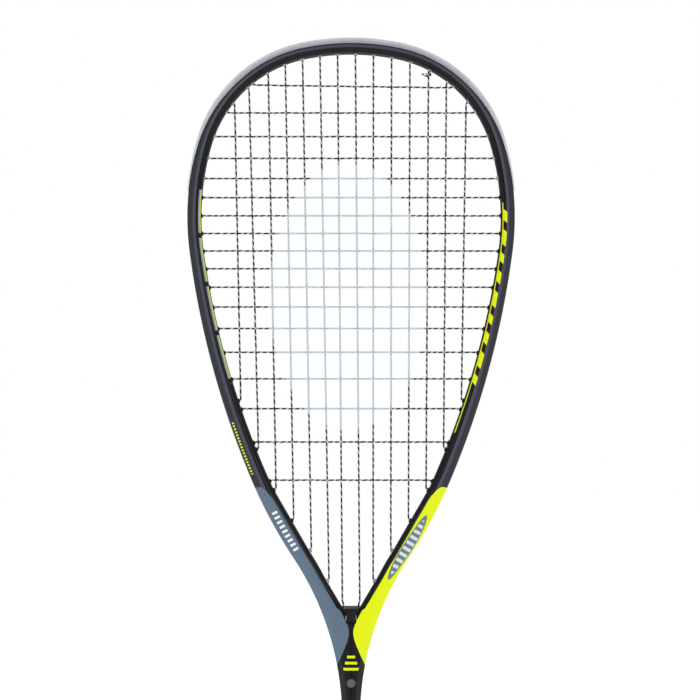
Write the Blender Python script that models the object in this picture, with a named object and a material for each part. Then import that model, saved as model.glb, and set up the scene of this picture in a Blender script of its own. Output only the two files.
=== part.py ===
"""Squash racket: teardrop carbon frame, grommets and head bumper, two woven strings, wrapped handle.

Metres, +Z up. The racket stands head up on its butt cap: X across the head, Y through the
string bed (the face is in the XZ plane at y = 0), origin in the middle of the butt cap's flat end.
"""
import math

import bmesh
import bpy
from mathutils import Vector
from mathutils.geometry import intersect_line_line_2d

MM = 0.001

# ---------------------------------------------------------------- driving dimensions, millimetres
LENGTH = 686.0              # overall, the longest the game allows
BUMPER_PROUD = 1.2          # how far the bumper stands above the tube
HEAD_TOP = LENGTH - BUMPER_PROUD

# Outer line of the tube, from the middle of the head: (radius, turn in degrees), all tangent.
HEAD_ARCS = [(160.0, 11.5), (90.0, 62.5), (180.0, 23.5), (575.0, 15.5), (315.0, 10.5)]
SHAFT_HALF = 6.0            # half width of the shaft
ARC_STEPS = [2, 10, 5, 6, 4]
THROAT_STEPS = 10

TUBE_HALF_DEPTH = 10.0      # head, measured along Y
SHAFT_HALF_DEPTH = 8.5
TUBE_WIDTH = 8.8            # head, measured in the plane of the face
ARM_WIDTH = 11.3            # where the arms close
CHANNEL_DEPTH = 2.7         # string channel round the outside
CHANNEL_FLOOR, CHANNEL_LIP = 2.9, 3.7   # half widths

POCKET_HALF = 3.4           # pocket that holds the throat insert
POCKET_FLOOR_Z = 302.5
INSERT_TOP_Z = 312.3
THROAT_HALF, THROAT_SLOPE = 6.3, 0.58   # half width at the insert's top; widening per mm upwards
SHAFT_FOOT_Z = 6.0
LEVEL_LEAD, LEVEL_SPAN = 45.0, 40.0     # above the pocket floor, where the walls turn level
DEPTH_LEAD, DEPTH_SPAN = 60.0, 120.0    # and where the tube gets shallower
CHANNEL_END_Z, CHANNEL_FADE = 322.0, 12.0
SHAPE_BLEND = 30.0          # length over which the head section turns into the shaft section
BEVEL_EDGE, BEVEL_RUN = (-0.2, 5.6), (-4.05, 3.7)   # outer bevel: start, and run to its ridge

STRING_R = 0.6
WEAVE = 0.78                # how far a string stands off the middle plane where it crosses
BARREL_BORE, BARREL_R, TUBE_HOLE_R = 1.0, 1.4, 1.75
BARREL_PROUD = 1.0          # barrel tip past the tube's inner wall
HOLE_PITCH_MIN = 4.8
HOLE_END_CLEAR = 4.0        # last hole to the pocket floor, along the tube
HOLE_OVER = 1.5             # how far a cutter reaches past the tube's walls
BARREL_ROOT, BORE_START, BORE_OVER = 0.4, 1.6, 0.5
MOUTH_PAST = 0.7            # bend of a string past its barrel's tip
ROUND_SIDES = 6             # sides of strings, barrels and bores
STRING_ANGLE = 61.0         # shading angle, so that a six-sided string looks round

MAINS = 14
MAIN_PITCH = 11.7           # at the head
MAIN_DRIFT = -3.0           # at the head the middle of the bed sits this far off centre
MAIN_FOOT_FIRST, MAIN_FOOT_PITCH = 14.5, 11.6       # holes in the arms, from the throat out
CROSSES = 18
CROSS_TOP_Z = 654.0
CROSS_CLOSEST = 7           # the step, counted from the head, where the crosses lie closest
CROSS_PITCH = 11.5          # there
CROSS_RISE_HEAD, CROSS_RISE_THROAT = 5.5, 13.4      # how much wider the first and last steps are
LANE = 1.4                  # mains run in one lane of the channel, crosses in the other
RUN_U = -0.7                # height of the runs in the channel
RUN_TURN, RUN_STEP = 2.6, 9.0
CROSSING_CLEAR = 1.0        # nearest a crossing comes to a string's end
MIDDLE_FOOT = (5.7, 316.5)      # x and z where the middle mains come free of the insert
INSERT_MOUTH = (4.75, 312.9)    # x and z where a main enters the throat insert
INSERT_TURN = (2.15, 307.7)     # and where it turns across inside

BUMPER_END_Z = 586.0
SIDE_END_Z = 466.0
STRIP_SKIN = 0.8
STRIP_HALF = 2.5            # half width of a strip
STRIP_STEP, STRIP_TAIL = 14.0, 5.0
PAD_HALF = 2.3              # half length of a single grommet's pad
BUMPER_FADE_LEAD, BUMPER_FADE_SPAN = 85.0, 80.0      # where it thins out toward its ends
BUMPER_SKIN = 0.75
BUMPER_WING_LOW, BUMPER_WING_SPAN = 0.05, 0.67      # share of the bevel that is covered
BUMPER_THICK_LOW, BUMPER_THICK_SPAN = 0.45, 0.45
GAP = 0.3

INSERT_HALF_DEPTH, INSERT_CHAMFER = 8.4, 1.0
INSERT_FOOT = 0.5           # above the pocket floor
INSERT_BORE_RISE = 2.0
KNOT_R, KNOT_TURNS, KNOT_STEPS = 0.5, 1.6, 14
KNOT_DROP, KNOT_PITCH, KNOT_START, KNOT_CLEAR = 1.7, 1.35 / 8.8, 0.4, 0.35

GRIP_TOP_Z = 200.0
CORE_X, CORE_Y = 13.0, 11.0         # half sizes of the handle core
CORE_CHAMFER = 5.0
GRIP_THICK = 1.8
GRIP_WRAPS, WRAP_LEAD, WRAP_DIP = 9, 1.2, 0.6
CORE_SPLIT = 0.15           # half the gap between the two core halves
CAP_FLANGE = 4.5
CAP_SLEEVE = 1.0            # thickness
CAP_SLEEVE_TOP = 22.0
CAP_RINGS = [(15.6, 13.6, 6.2, 0.0), (16.4, 14.4, 6.6, 1.0), (16.6, 14.6, 6.6, 3.7),
             (16.0, 14.0, 6.4, CAP_FLANGE)]     # half x, half y, chamfer, z
TAPE_Z, TAPE_THICK = (183.0, 199.0), 0.5
COLLAR_Z = (0.4, 4.0, 17.0, 18.0)               # above the grip's top
COLLAR_RINGS = [(15.2, 13.2, 5.9), (15.0, 13.0, 5.8), (9.6, 11.4, 3.4), (8.6, 10.6, 3.0)]
COLLAR_BORE_CHAMFER = 1.5


def clear_scene():
    for ob in list(bpy.data.objects):
        bpy.data.objects.remove(ob, do_unlink=True)


def material(name, colour, rough, metallic=0.0):
    m = bpy.data.materials.new(name)
    m.use_nodes = True
    bsdf = m.node_tree.nodes["Principled BSDF"]
    bsdf.inputs["Base Color"].default_value = (*colour, 1.0)
    bsdf.inputs["Roughness"].default_value = rough
    bsdf.inputs["Metallic"].default_value = metallic
    m.diffuse_color = (*colour, 1.0)
    return m


def make_object(name, verts, faces, mat, angle=35.0):
    """A named object from points in millimetres, with outward faces and shaded by angle."""
    me = bpy.data.meshes.new(name)
    me.from_pydata([Vector(v) * MM for v in verts], [], faces)
    bm = bmesh.new()
    bm.from_mesh(me)
    bmesh.ops.recalc_face_normals(bm, faces=bm.faces)
    bm.to_mesh(me)
    bm.free()
    ob = bpy.data.objects.new(name, me)
    bpy.context.scene.collection.objects.link(ob)
    me.materials.append(mat)
    me.shade_smooth()
    me.set_sharp_from_angle(angle=math.radians(angle))
    return ob


def cut(ob, cutter, mode="DIFFERENCE"):
    """Applies one exact Boolean and removes the cutter."""
    mod = ob.modifiers.new("cut", "BOOLEAN")
    mod.operation, mod.solver, mod.object = mode, "EXACT", cutter
    bpy.context.view_layer.update()
    dep = bpy.context.evaluated_depsgraph_get()
    mesh = bpy.data.meshes.new_from_object(ob.evaluated_get(dep))
    ob.modifiers.clear()
    bm = bmesh.new()
    bm.from_mesh(mesh)
    bmesh.ops.remove_doubles(bm, verts=bm.verts, dist=2e-6)
    bmesh.ops.dissolve_degenerate(bm, dist=2e-6, edges=bm.edges)
    bm.to_mesh(mesh)
    bm.free()
    name = ob.data.name
    old = ob.data
    ob.data = mesh
    bpy.data.meshes.remove(old)
    mesh.name = name
    mesh.shade_smooth()
    mesh.set_sharp_from_angle(angle=math.radians(35))
    bpy.data.objects.remove(cutter, do_unlink=True)


# ---------------------------------------------------------------- the tube's outer line
def build_segments():
    """Segments of the right-hand outer line: start point, heading, signed radius and length."""
    segs, x, z, h, s = [], 0.0, HEAD_TOP, 0.0, 0.0
    for radius, turn in HEAD_ARCS:
        a = math.radians(turn)
        segs.append((s, x, z, h, radius, radius * a))
        cx, cz = x - radius * math.sin(h), z - radius * math.cos(h)
        h += a
        x, z, s = cx + radius * math.sin(h), cz + radius * math.cos(h), s + radius * a
    # a hollow curve, tangent to the arm, that ends upright at the shaft's half width
    a = h - math.pi / 2
    throat = (x - SHAFT_HALF) / (1 - math.sin(h))
    segs.append((s, x, z, h, -throat, throat * a))
    z, s = z + throat * math.cos(h), s + throat * a
    segs.append((s, SHAFT_HALF, z, math.pi / 2, 0.0, z - SHAFT_FOOT_Z))
    return segs


SEGS = build_segments()
SHAFT_START = SEGS[-1][0]
TOTAL = SHAFT_START + SEGS[-1][5]


def outer(s):
    """Point (x, z) and heading on the right-hand outer line, at s millimetres from the middle."""
    for s0, x, z, h, radius, _ in reversed(SEGS):
        if s >= s0 - 1e-9:
            break
    t = s - s0
    if radius == 0.0:
        return x, z - t, h
    a = t / radius
    cx, cz = x - radius * math.sin(h), z - radius * math.cos(h)
    return cx + radius * math.sin(h + a), cz + radius * math.cos(h + a), h + a


def station_at(test, lo=0.0, hi=None):
    """The s where test(s) changes from True to False, by halving."""
    hi = TOTAL if hi is None else hi
    for _ in range(50):
        mid = (lo + hi) / 2
        lo, hi = (mid, hi) if test(mid) else (lo, mid)
    return (lo + hi) / 2


def smooth(t):
    t = min(1.0, max(0.0, t))
    return t * t * (3 - 2 * t)


POCKET_S = station_at(lambda s: outer(s)[1] > POCKET_FLOOR_Z)
WIDTH_START = sum(math.radians(a) * r for r, a in HEAD_ARCS[:3])
LEVEL_START = POCKET_S - LEVEL_LEAD


def side_dir(s):
    """Direction across the tube, outward: square to the line, level near the throat."""
    h = outer(s)[2]
    nx, nz = math.sin(h), math.cos(h)
    k = smooth((s - LEVEL_START) / LEVEL_SPAN)
    nx, nz = nx * (1 - k) + k, nz * (1 - k)
    n = math.hypot(nx, nz)
    return nx / n, nz / n


def width(s):
    """Tube width along side_dir. Low in the arms the inner wall runs straight down to the
    pocket, and past the pocket floor the tube reaches the middle plane."""
    nx, nz = side_dir(s)
    x, z, _ = outer(s)
    if s > POCKET_S + 1e-6:
        return x / nx
    if s < WIDTH_START:
        return TUBE_WIDTH
    t = (s - WIDTH_START) / (POCKET_S - WIDTH_START)
    even = TUBE_WIDTH + (ARM_WIDTH - TUBE_WIDTH) * t
    straight = (x - THROAT_HALF - THROAT_SLOPE * (z - INSERT_TOP_Z)) / (nx - THROAT_SLOPE * nz)
    return max(even, min(straight, (x - POCKET_HALF) / nx))


def place(s, u, v, side=1):
    """Point at u millimetres outward from the outer line and v along Y."""
    x, z, _ = outer(s)
    nx, nz = side_dir(s)
    return (side * (x + u * nx), v, z + u * nz)


def half_depth(s):
    k = smooth((s - POCKET_S + DEPTH_LEAD) / DEPTH_SPAN)
    return TUBE_HALF_DEPTH + (SHAFT_HALF_DEPTH - TUBE_HALF_DEPTH) * k


POCKET_TOP_Z = INSERT_TOP_Z - (THROAT_HALF - POCKET_HALF) / THROAT_SLOPE
POCKET_TOP_S = station_at(lambda s: outer(s)[1] > POCKET_TOP_Z)
CHANNEL_END = station_at(lambda s: outer(s)[1] > CHANNEL_END_Z)


def tube_profile(s):
    """Half profile (u, v) from the channel floor round to the inner wall."""
    w, d = width(s), half_depth(s)
    c = CHANNEL_DEPTH * (1 - smooth((s - CHANNEL_END) / CHANNEL_FADE))
    k = d / TUBE_HALF_DEPTH
    pts = [(-c, CHANNEL_FLOOR * k), (0.0, CHANNEL_LIP * k),
           (BEVEL_EDGE[0], BEVEL_EDGE[1] * k)]
    b = min(4.1, w * 0.55)
    head = [(-w * 0.48, 9.3 * k), (-w * 0.69, d), (-w + 0.9, 8.7 * k), (-w, 6.4 * k)]
    shaft = [(-b, 9.4 * k), (-(b + w) * 0.5, d), (-w + 0.8, d), (-w, d)]
    f = smooth((s - POCKET_S + SHAPE_BLEND) / SHAPE_BLEND)
    return pts + [(p[0] + (q[0] - p[0]) * f, p[1] + (q[1] - p[1]) * f)
                  for p, q in zip(head, shaft)]


def tube_stations():
    out, s = [], 0.0
    for (radius, turn), n in zip(HEAD_ARCS, ARC_STEPS):
        length = radius * math.radians(turn)
        out += [s + length * i / n for i in range(n)]
        s += length
    length = SHAFT_START - s
    out += [s + length * i / THROAT_STEPS for i in range(THROAT_STEPS)]
    marks = [POCKET_S, POCKET_TOP_S, CHANNEL_END, CHANNEL_END + CHANNEL_FADE]
    out = [q for q in out if min(abs(q - m) for m in marks) > 2.5]
    out += marks + [POCKET_S + 0.02, SHAFT_START, SHAFT_START + 60, TOTAL]
    return sorted(out)


def build_frame(mat):
    """Right half as a strip of rings, mirrored and welded on the middle plane."""
    stations = tube_stations()
    verts, faces = [], []
    for side in (1, -1):
        rings = []
        for s in stations:
            half = tube_profile(s)
            ring = half + [(u, -v) for u, v in reversed(half)]
            rings.append(list(range(len(verts), len(verts) + len(ring))))
            verts += [place(s, u, v, side) for u, v in ring]
        n = len(rings[0])
        wall = n // 2 - 1
        for k in range(len(rings) - 1):
            for i in range(n):
                if i == wall and stations[k] > POCKET_S + 1e-6:
                    continue
                j = (i + 1) % n
                a, b = rings[k], rings[k + 1]
                quad = [a[i], a[j], b[j], b[i]]
                faces.append(quad if side == 1 else quad[::-1])
        faces.append(rings[-1] if side == 1 else rings[-1][::-1])
    ob = make_object("frame", verts, faces, mat)
    bm = bmesh.new()
    bm.from_mesh(ob.data)
    bmesh.ops.remove_doubles(bm, verts=bm.verts, dist=5e-6)
    bmesh.ops.recalc_face_normals(bm, faces=bm.faces)
    bm.to_mesh(ob.data)
    bm.free()
    return ob


# ---------------------------------------------------------------- stringing
def spot(s, u, v=0.0):
    """Like place, for a signed station: negative on the left."""
    return Vector(place(abs(s), u, v, 1 if s >= 0 else -1))


def mouth(s):
    """Where a string bends, just past the tip of the barrel."""
    return spot(s, -width(abs(s)) - BARREL_PROUD - MOUTH_PAST)


WIDEST = station_at(lambda s: outer(s)[2] < math.pi / 2, 0.0, 400.0)


def space_out(holes):
    """Pushes apart neighbours that are closer than the smallest pitch."""
    for _ in range(40):
        order = sorted(holes, key=holes.get)
        for a, b in zip(order, order[1:]):
            lack = HOLE_PITCH_MIN - (holes[b] - holes[a])
            if lack > 1e-6:
                holes[a] -= lack / 2
                holes[b] += lack / 2


def main_top(i):
    """x of main i at the head: even steps, all drawn a little to one side near the middle."""
    k = i - (MAINS - 1) / 2
    return MAIN_PITCH * k + MAIN_DRIFT * (1 - (2 * k / MAINS) ** 2)


def cross_heights():
    """z of the crosses at the frame, from the head down."""
    out = [CROSS_TOP_Z]
    for j in range(CROSSES - 1):
        if j < CROSS_CLOSEST:
            t, rise = 1 - j / CROSS_CLOSEST, CROSS_RISE_HEAD
        else:
            t, rise = (j - CROSS_CLOSEST) / (CROSSES - 2 - CROSS_CLOSEST), CROSS_RISE_THROAT
        out.append(out[-1] - CROSS_PITCH - rise * t * t)
    return out


def plan_holes():
    """Signed stations of the holes: mains at the head and in the arms, crosses on both sides."""
    holes = {}
    for side in (1, -1):
        mine = {}
        end = POCKET_S - HOLE_END_CLEAR
        for i in range(MAINS):
            x = main_top(i) * side
            if x > 0:
                mine["head", i] = station_at(lambda s: mouth(s).x < x, 0.0, WIDEST)
        for k in range(MAINS // 2 - 1):
            x = MAIN_FOOT_FIRST + MAIN_FOOT_PITCH * k
            i = MAINS // 2 + 1 + k if side == 1 else MAINS // 2 - 2 - k
            mine["arm", i] = station_at(lambda s: mouth(s).x > x, WIDEST, end)
        for j, z in enumerate(cross_heights()):
            mine["cross", j, side] = station_at(lambda s: mouth(s).z > z, 0.0, end)
        space_out(mine)
        holes.update({key: side * s for key, s in mine.items()})
    return holes


HOLES = plan_holes()


def tube_mesh(points, radius):
    """A mitred tube along points, with flat ends."""
    sides = ROUND_SIDES
    pts = [Vector(p) for p in points]
    d = (pts[1] - pts[0]).normalized()
    ref = Vector((0, 1, 0)) if abs(d.y) < 0.9 else Vector((1, 0, 0))
    e1 = d.cross(ref).normalized()
    e2 = d.cross(e1).normalized()
    ring = []
    for i in range(sides):
        a = 2 * math.pi * i / sides
        ring.append(pts[0] + radius * (math.cos(a) * e1 + math.sin(a) * e2))
    rings = [ring]
    for k in range(1, len(pts)):
        d = (pts[k] - pts[k - 1]).normalized()
        n = d
        if k < len(pts) - 1:
            n = (d + (pts[k + 1] - pts[k]).normalized()).normalized()
        ring = [p + d * ((pts[k] - p).dot(n) / d.dot(n)) for p in ring]
        rings.append(ring)
    verts = [v for r in rings for v in r]
    faces = [list(range(sides))[::-1],
             [len(verts) - sides + i for i in range(sides)]]
    for k in range(len(rings) - 1):
        for i in range(sides):
            j = (i + 1) % sides
            faces.append([k * sides + i, k * sides + j, (k + 1) * sides + j, (k + 1) * sides + i])
    return verts, faces


def channel_run(sa, sb, lane):
    """Points of a run in the channel between two signed stations."""
    step = RUN_TURN if sb > sa else -RUN_TURN
    pts = [spot(sa, RUN_U), spot(sa + step, RUN_U, lane)]
    n = max(1, round(abs(sb - sa) / RUN_STEP))
    for i in range(1, n):
        pts.append(spot(sa + (sb - sa) * i / n, RUN_U, lane))
    return pts + [spot(sb - step, RUN_U, lane), spot(sb, RUN_U)]


def main_line(i):
    """Ends of main i in the plane, from the head down. The middle pair ends in the insert."""
    foot = HOLES.get(("arm", i))
    if foot is None:
        side = 1 if i >= MAINS // 2 else -1
        return mouth(HOLES["head", i]), Vector((side * MIDDLE_FOOT[0], 0.0, MIDDLE_FOOT[1]))
    return mouth(HOLES["head", i]), mouth(foot)


def cross_line(j):
    return mouth(HOLES["cross", j, -1]), mouth(HOLES["cross", j, 1])


def crossing(i, j):
    """Where main i meets cross j in the plane, or None."""
    (a, b), (left, right) = main_line(i), cross_line(j)
    met = intersect_line_line_2d(a.xz, b.xz, left.xz, right.xz)
    if met is None or abs(met.x) > right.x - CROSSING_CLEAR:
        return None
    if not b.z + CROSSING_CLEAR < met.y < a.z - CROSSING_CLEAR:
        return None
    return Vector((met.x, 0.0, met.y))


def woven(line, over):
    """Points of one string from end to end, over or under each one that it crosses."""
    a, b = line
    out = [a]
    for p, up in over:
        if p is not None:
            out.append(Vector((p.x, WEAVE if up else -WEAVE, p.z)))
    return out + [b]


def main_points(i):
    return woven(main_line(i), [(crossing(i, j), (i + j) % 2 == 0) for j in range(CROSSES)])


def cross_points(j):
    return woven(cross_line(j), [(crossing(i, j), (i + j) % 2 == 1) for i in range(MAINS)])


def insert_route():
    """The turn inside the throat insert, from its left mouth down, across and up."""
    (mx, mz), (tx, tz) = INSERT_MOUTH, INSERT_TURN
    return [Vector((x, 0.0, z)) for x, z in ((-mx, mz), (-tx, tz), (tx, tz), (mx, mz))]


def build_strings(mat):
    """Each string is one length that turns in the channel between neighbouring holes."""
    path = [spot(HOLES["head", 0], RUN_U)]
    for i in range(MAINS):
        down = i % 2 == 0       # even mains run head to throat
        path += main_points(i) if down else main_points(i)[::-1]
        if i == MAINS - 1:
            path.append(spot(HOLES["head", i], RUN_U))
        elif down and ("arm", i) not in HOLES:
            path += insert_route()
        else:
            end = "arm" if down else "head"
            path += channel_run(HOLES[end, i], HOLES[end, i + 1], LANE)
    v, f = tube_mesh(path, STRING_R)
    make_object("main_string", v, f, mat, STRING_ANGLE)

    path = [spot(HOLES["cross", 0, -1], RUN_U)]
    for j in range(CROSSES):
        side = 1 if j % 2 == 0 else -1      # even crosses run left to right
        path += cross_points(j) if side == 1 else cross_points(j)[::-1]
        if j < CROSSES - 1:
            path += channel_run(HOLES["cross", j, side], HOLES["cross", j + 1, side], -LANE)
    path.append(spot(HOLES["cross", CROSSES - 1, side], RUN_U))
    v, f = tube_mesh(path, STRING_R)
    make_object("cross_string", v, f, mat, STRING_ANGLE)


def hole_prisms(name, stations, radius, u0, past):
    """One object holding a prism through the tube at each signed station."""
    verts, faces = [], []
    for s in stations:
        v, f = tube_mesh([spot(s, u0), spot(s, -width(abs(s)) - past)], radius)
        base = len(verts)
        verts += v
        faces += [[base + q for q in face] for face in f]
    return make_object(name, verts, faces, bpy.data.materials[0])


# ---------------------------------------------------------------- bumper, strips, grommets
def loft(name, stations, profile, mat):
    """Closed profile swept along the outer line between the signed stations given."""
    verts, faces = [], []
    rings = []
    for s in stations:
        prof = profile(abs(s))
        rings.append(list(range(len(verts), len(verts) + len(prof))))
        verts += [spot(s, u, v) for u, v in prof]
    n = len(rings[0])
    for a, b in zip(rings, rings[1:]):
        for i in range(n):
            j = (i + 1) % n
            faces.append([a[i], a[j], b[j], b[i]])
    faces += [rings[0][::-1], rings[-1]]
    return make_object(name, verts, faces, mat)


BUMPER_END = station_at(lambda s: outer(s)[1] > BUMPER_END_Z)


def bumper_profile(s):
    """Wraps the outer bevel, lines the channel and stands proud of the tube."""
    f = 1 - smooth((s - BUMPER_END + BUMPER_FADE_LEAD) / BUMPER_FADE_SPAN)
    top = BUMPER_SKIN + (BUMPER_PROUD - BUMPER_SKIN) * f
    wing = BUMPER_WING_LOW + BUMPER_WING_SPAN * f
    (eu, ev), (bu, bv) = BEVEL_EDGE, BEVEL_RUN
    n = Vector((bv, -bu)).normalized()
    inner = (eu + bu * wing + n.x * GAP, ev + bv * wing + n.y * GAP)
    thick = BUMPER_THICK_LOW + BUMPER_THICK_SPAN * f
    tip = (inner[0] + n.x * thick, inner[1] + n.y * thick)
    floor = -CHANNEL_DEPTH + GAP
    half = [(floor + STRIP_SKIN, 2.2), (top, STRIP_HALF), (top, 5.4), tip, inner,
            (GAP, 5.7), (GAP, CHANNEL_LIP - 0.35), (floor, CHANNEL_FLOOR - 0.32)]
    return half + [(u, -v) for u, v in reversed(half)]


def strip_profile(_):
    floor = -CHANNEL_DEPTH + GAP
    top, w = floor + STRIP_SKIN, STRIP_HALF
    return [(floor, -w), (floor, w), (top, w), (top, -w)]


def spread(lo, hi, step):
    n = max(1, math.ceil((hi - lo) / step))
    return [lo + (hi - lo) * i / n for i in range(n + 1)]


def with_barrels(ob, stations):
    floor = -CHANNEL_DEPTH + GAP
    cut(ob, hole_prisms("barrels", stations, BARREL_R, floor + BARREL_ROOT, BARREL_PROUD), "UNION")
    cut(ob, hole_prisms("bores", stations, BARREL_BORE, BORE_START, BARREL_PROUD + BORE_OVER))


def build_guards(bumper_mat, strip_mat, grommet_mat):
    """The bumper, the four grommet strips and the four single throat grommets."""
    side_end = station_at(lambda s: outer(s)[1] > SIDE_END_Z)
    middle = MAINS // 2
    singles = {"right": [HOLES["arm", middle + 1], HOLES["arm", middle + 2]],
               "left": [HOLES["arm", middle - 2], HOLES["arm", middle - 3]]}
    stripped = [s for s in HOLES.values() if s not in singles["right"] + singles["left"]]
    ss = sorted([s for s in tube_stations() if s < BUMPER_END - 3]
                + [BUMPER_END - 40, BUMPER_END])
    signed = [-s for s in reversed(ss)] + ss[1:]
    bumper = loft("head_bumper", signed, bumper_profile, bumper_mat)
    with_barrels(bumper, [s for s in stripped if abs(s) < BUMPER_END])
    for label, side in (("right", 1), ("left", -1)):
        mine = [abs(s) for s in stripped if s * side > 0]
        for zone, lo, hi in (("side", BUMPER_END + 1, side_end - 0.5),
                             ("throat", side_end + 0.5, max(mine) + STRIP_TAIL)):
            strip = loft(f"{zone}_strip_{label}", [side * s for s in spread(lo, hi, STRIP_STEP)],
                         strip_profile, strip_mat)
            with_barrels(strip, [side * s for s in mine if lo < s < hi])
        for k, s in enumerate(singles[label]):
            pad = loft(f"throat_grommet_{label}_{k + 1}",
                       [s - PAD_HALF * side, s + PAD_HALF * side], strip_profile, grommet_mat)
            with_barrels(pad, [s])


def build_insert(mat):
    """Wedge in the pocket; the middle pair of mains turns round inside it."""
    d, c = INSERT_HALF_DEPTH, INSERT_CHAMFER
    verts = []
    for w, z in ((POCKET_HALF - GAP, POCKET_FLOOR_Z + INSERT_FOOT), (POCKET_HALF - GAP, POCKET_TOP_Z),
                 (THROAT_HALF - GAP, INSERT_TOP_Z)):
        prof = [(-w, -d + c), (-w + c, -d), (w - c, -d), (w, -d + c),
                (w, d - c), (w - c, d), (-w + c, d), (-w, d - c)]
        verts += [(x, y, z) for x, y in prof]
    n = 8
    faces = [list(range(n))[::-1], list(range(2 * n, 3 * n))]
    for k in (0, n):
        faces += [[k + i, k + (i + 1) % n, k + n + (i + 1) % n, k + n + i] for i in range(n)]
    ob = make_object("throat_insert", verts, faces, mat)
    route = insert_route()
    rise = (route[0] - route[1]).normalized() * INSERT_BORE_RISE
    route = [route[0] + rise, *route[1:3], route[3] + Vector((-rise.x, 0.0, rise.z))]
    v, f = tube_mesh(route, BARREL_BORE)
    cut(ob, make_object("turn_bore", v, f, mat))


def build_knot(mat):
    """Two turns round the third main from the right, near the head, with a short tail."""
    i = MAINS - 3
    a, b = main_line(i)
    d = (b - a).normalized()
    centre = a + d * KNOT_DROP
    r = STRING_R * 2 + KNOT_CLEAR
    pts = []
    side = Vector((1, 0, 0))
    for k in range(KNOT_STEPS + 1):
        t = 2 * math.pi * KNOT_TURNS * k / KNOT_STEPS + KNOT_START
        pts.append(centre + d * (KNOT_PITCH * k) + side * (r * math.cos(t))
                   + Vector((0, r * math.sin(t), 0)))
    end = pts[-1]
    out = (end - pts[-2]).normalized()
    pts += [end + out * 1.6 + side * 0.6, end + out * 2.4 + side * 2.6 + Vector((0, 0, 0.5))]
    v, f = tube_mesh(pts, KNOT_R)
    make_object("tie_off_knot", v, f, mat, STRING_ANGLE)


# ---------------------------------------------------------------- handle
def octagon(hx, hy, chamfer, z):
    c = chamfer
    pts = [(hx, -hy + c), (hx, hy - c), (hx - c, hy), (-hx + c, hy),
           (-hx, hy - c), (-hx, -hy + c), (-hx + c, -hy), (hx - c, -hy)]
    return [(x, y, z) for x, y in pts]


def stack(name, rings, mat, closed=True, angle=35.0):
    """Joins rings of equal count; closed makes a ring-shaped solid, else both ends get a cap."""
    verts = [v for r in rings for v in r]
    n = len(rings[0])
    m = len(rings)
    faces = []
    for k in range(m if closed else m - 1):
        a, b = k * n, ((k + 1) % m) * n
        faces += [[a + i, a + (i + 1) % n, b + (i + 1) % n, b + i] for i in range(n)]
    if not closed:
        faces += [list(range(n))[::-1], [(m - 1) * n + i for i in range(n)]]
    return make_object(name, verts, faces, mat, angle)


def build_handle(foam, grip, tape, rubber, plastic):
    hx, hy = SHAFT_HALF + GAP, SHAFT_HALF_DEPTH + GAP
    lo, hi = CAP_FLANGE - 1.5, GRIP_TOP_Z
    c = CORE_CHAMFER
    for label, s in (("front", -1), ("back", 1)):
        prof = [(hx, CORE_SPLIT), (CORE_X, CORE_SPLIT), (CORE_X, CORE_Y - c), (CORE_X - c, CORE_Y),
                (-CORE_X + c, CORE_Y), (-CORE_X, CORE_Y - c), (-CORE_X, CORE_SPLIT), (-hx, CORE_SPLIT),
                (-hx, hy), (hx, hy)]
        rings = [[(x, s * y, z) for x, y in prof] for z in (lo, hi)]
        stack(f"handle_core_{label}", rings, foam, closed=False)

    cx, cy = CORE_X + GAP, CORE_Y + GAP
    sx, sy = cx + CAP_SLEEVE, cy + CAP_SLEEVE
    rings = [octagon(*ring) for ring in CAP_RINGS]
    rings += [octagon(sx, sy, c + 0.5, CAP_FLANGE), octagon(sx, sy, c + 0.5, CAP_SLEEVE_TOP),
              octagon(cx, cy, c, CAP_SLEEVE_TOP), octagon(cx, cy, c, lo - GAP)]
    stack("butt_cap", rings, plastic, closed=False)

    flare = CAP_SLEEVE + 2 * GAP
    start = CAP_FLANGE + GAP
    pitch = (GRIP_TOP_Z - start) / GRIP_WRAPS
    rings = []
    for k in range(GRIP_WRAPS):
        z0 = start + pitch * k
        for dz, dip in ((0.0, WRAP_DIP), (WRAP_LEAD, 0.0), (pitch - WRAP_LEAD, 0.0)):
            z = z0 + dz
            f = flare * (1 - smooth((z - CAP_SLEEVE_TOP - 3) / 20))
            g = CORE_X + GAP + GRIP_THICK + f - dip
            rings.append(octagon(g, g - CORE_X + CORE_Y, c + 0.9, z))
    g = CORE_X + GAP + GRIP_THICK - WRAP_DIP
    rings.append(octagon(g, g - CORE_X + CORE_Y, c + 0.9, GRIP_TOP_Z))
    g = CORE_X + GAP
    rings.append(octagon(g, g - CORE_X + CORE_Y, c, GRIP_TOP_Z))
    rings.append(octagon(g, g - CORE_X + CORE_Y, c, CAP_SLEEVE_TOP + 1))
    rings.append(octagon(g + flare, g + flare - CORE_X + CORE_Y, c + 0.5, CAP_SLEEVE_TOP + 0.4))
    rings.append(octagon(g + flare, g + flare - CORE_X + CORE_Y, c + 0.5, start))
    stack("base_grip", rings, grip)

    g = CORE_X + GAP * 2 + GRIP_THICK
    t = g + TAPE_THICK
    low, high = TAPE_Z
    rings = [octagon(g, g - 2, c + 0.9, low), octagon(t, t - 2, c + 1.1, low),
             octagon(t, t - 2, c + 1.1, high), octagon(g, g - 2, c + 0.9, high)]
    stack("finishing_tape", rings, tape)

    bore = hx, hy, COLLAR_BORE_CHAMFER
    shape = [bore, *COLLAR_RINGS, bore]
    levels = [COLLAR_Z[0], *COLLAR_Z, COLLAR_Z[-1]]
    rings = [octagon(*dims, GRIP_TOP_Z + z) for dims, z in zip(shape, levels)]
    stack("grip_collar", rings, rubber)


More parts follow.
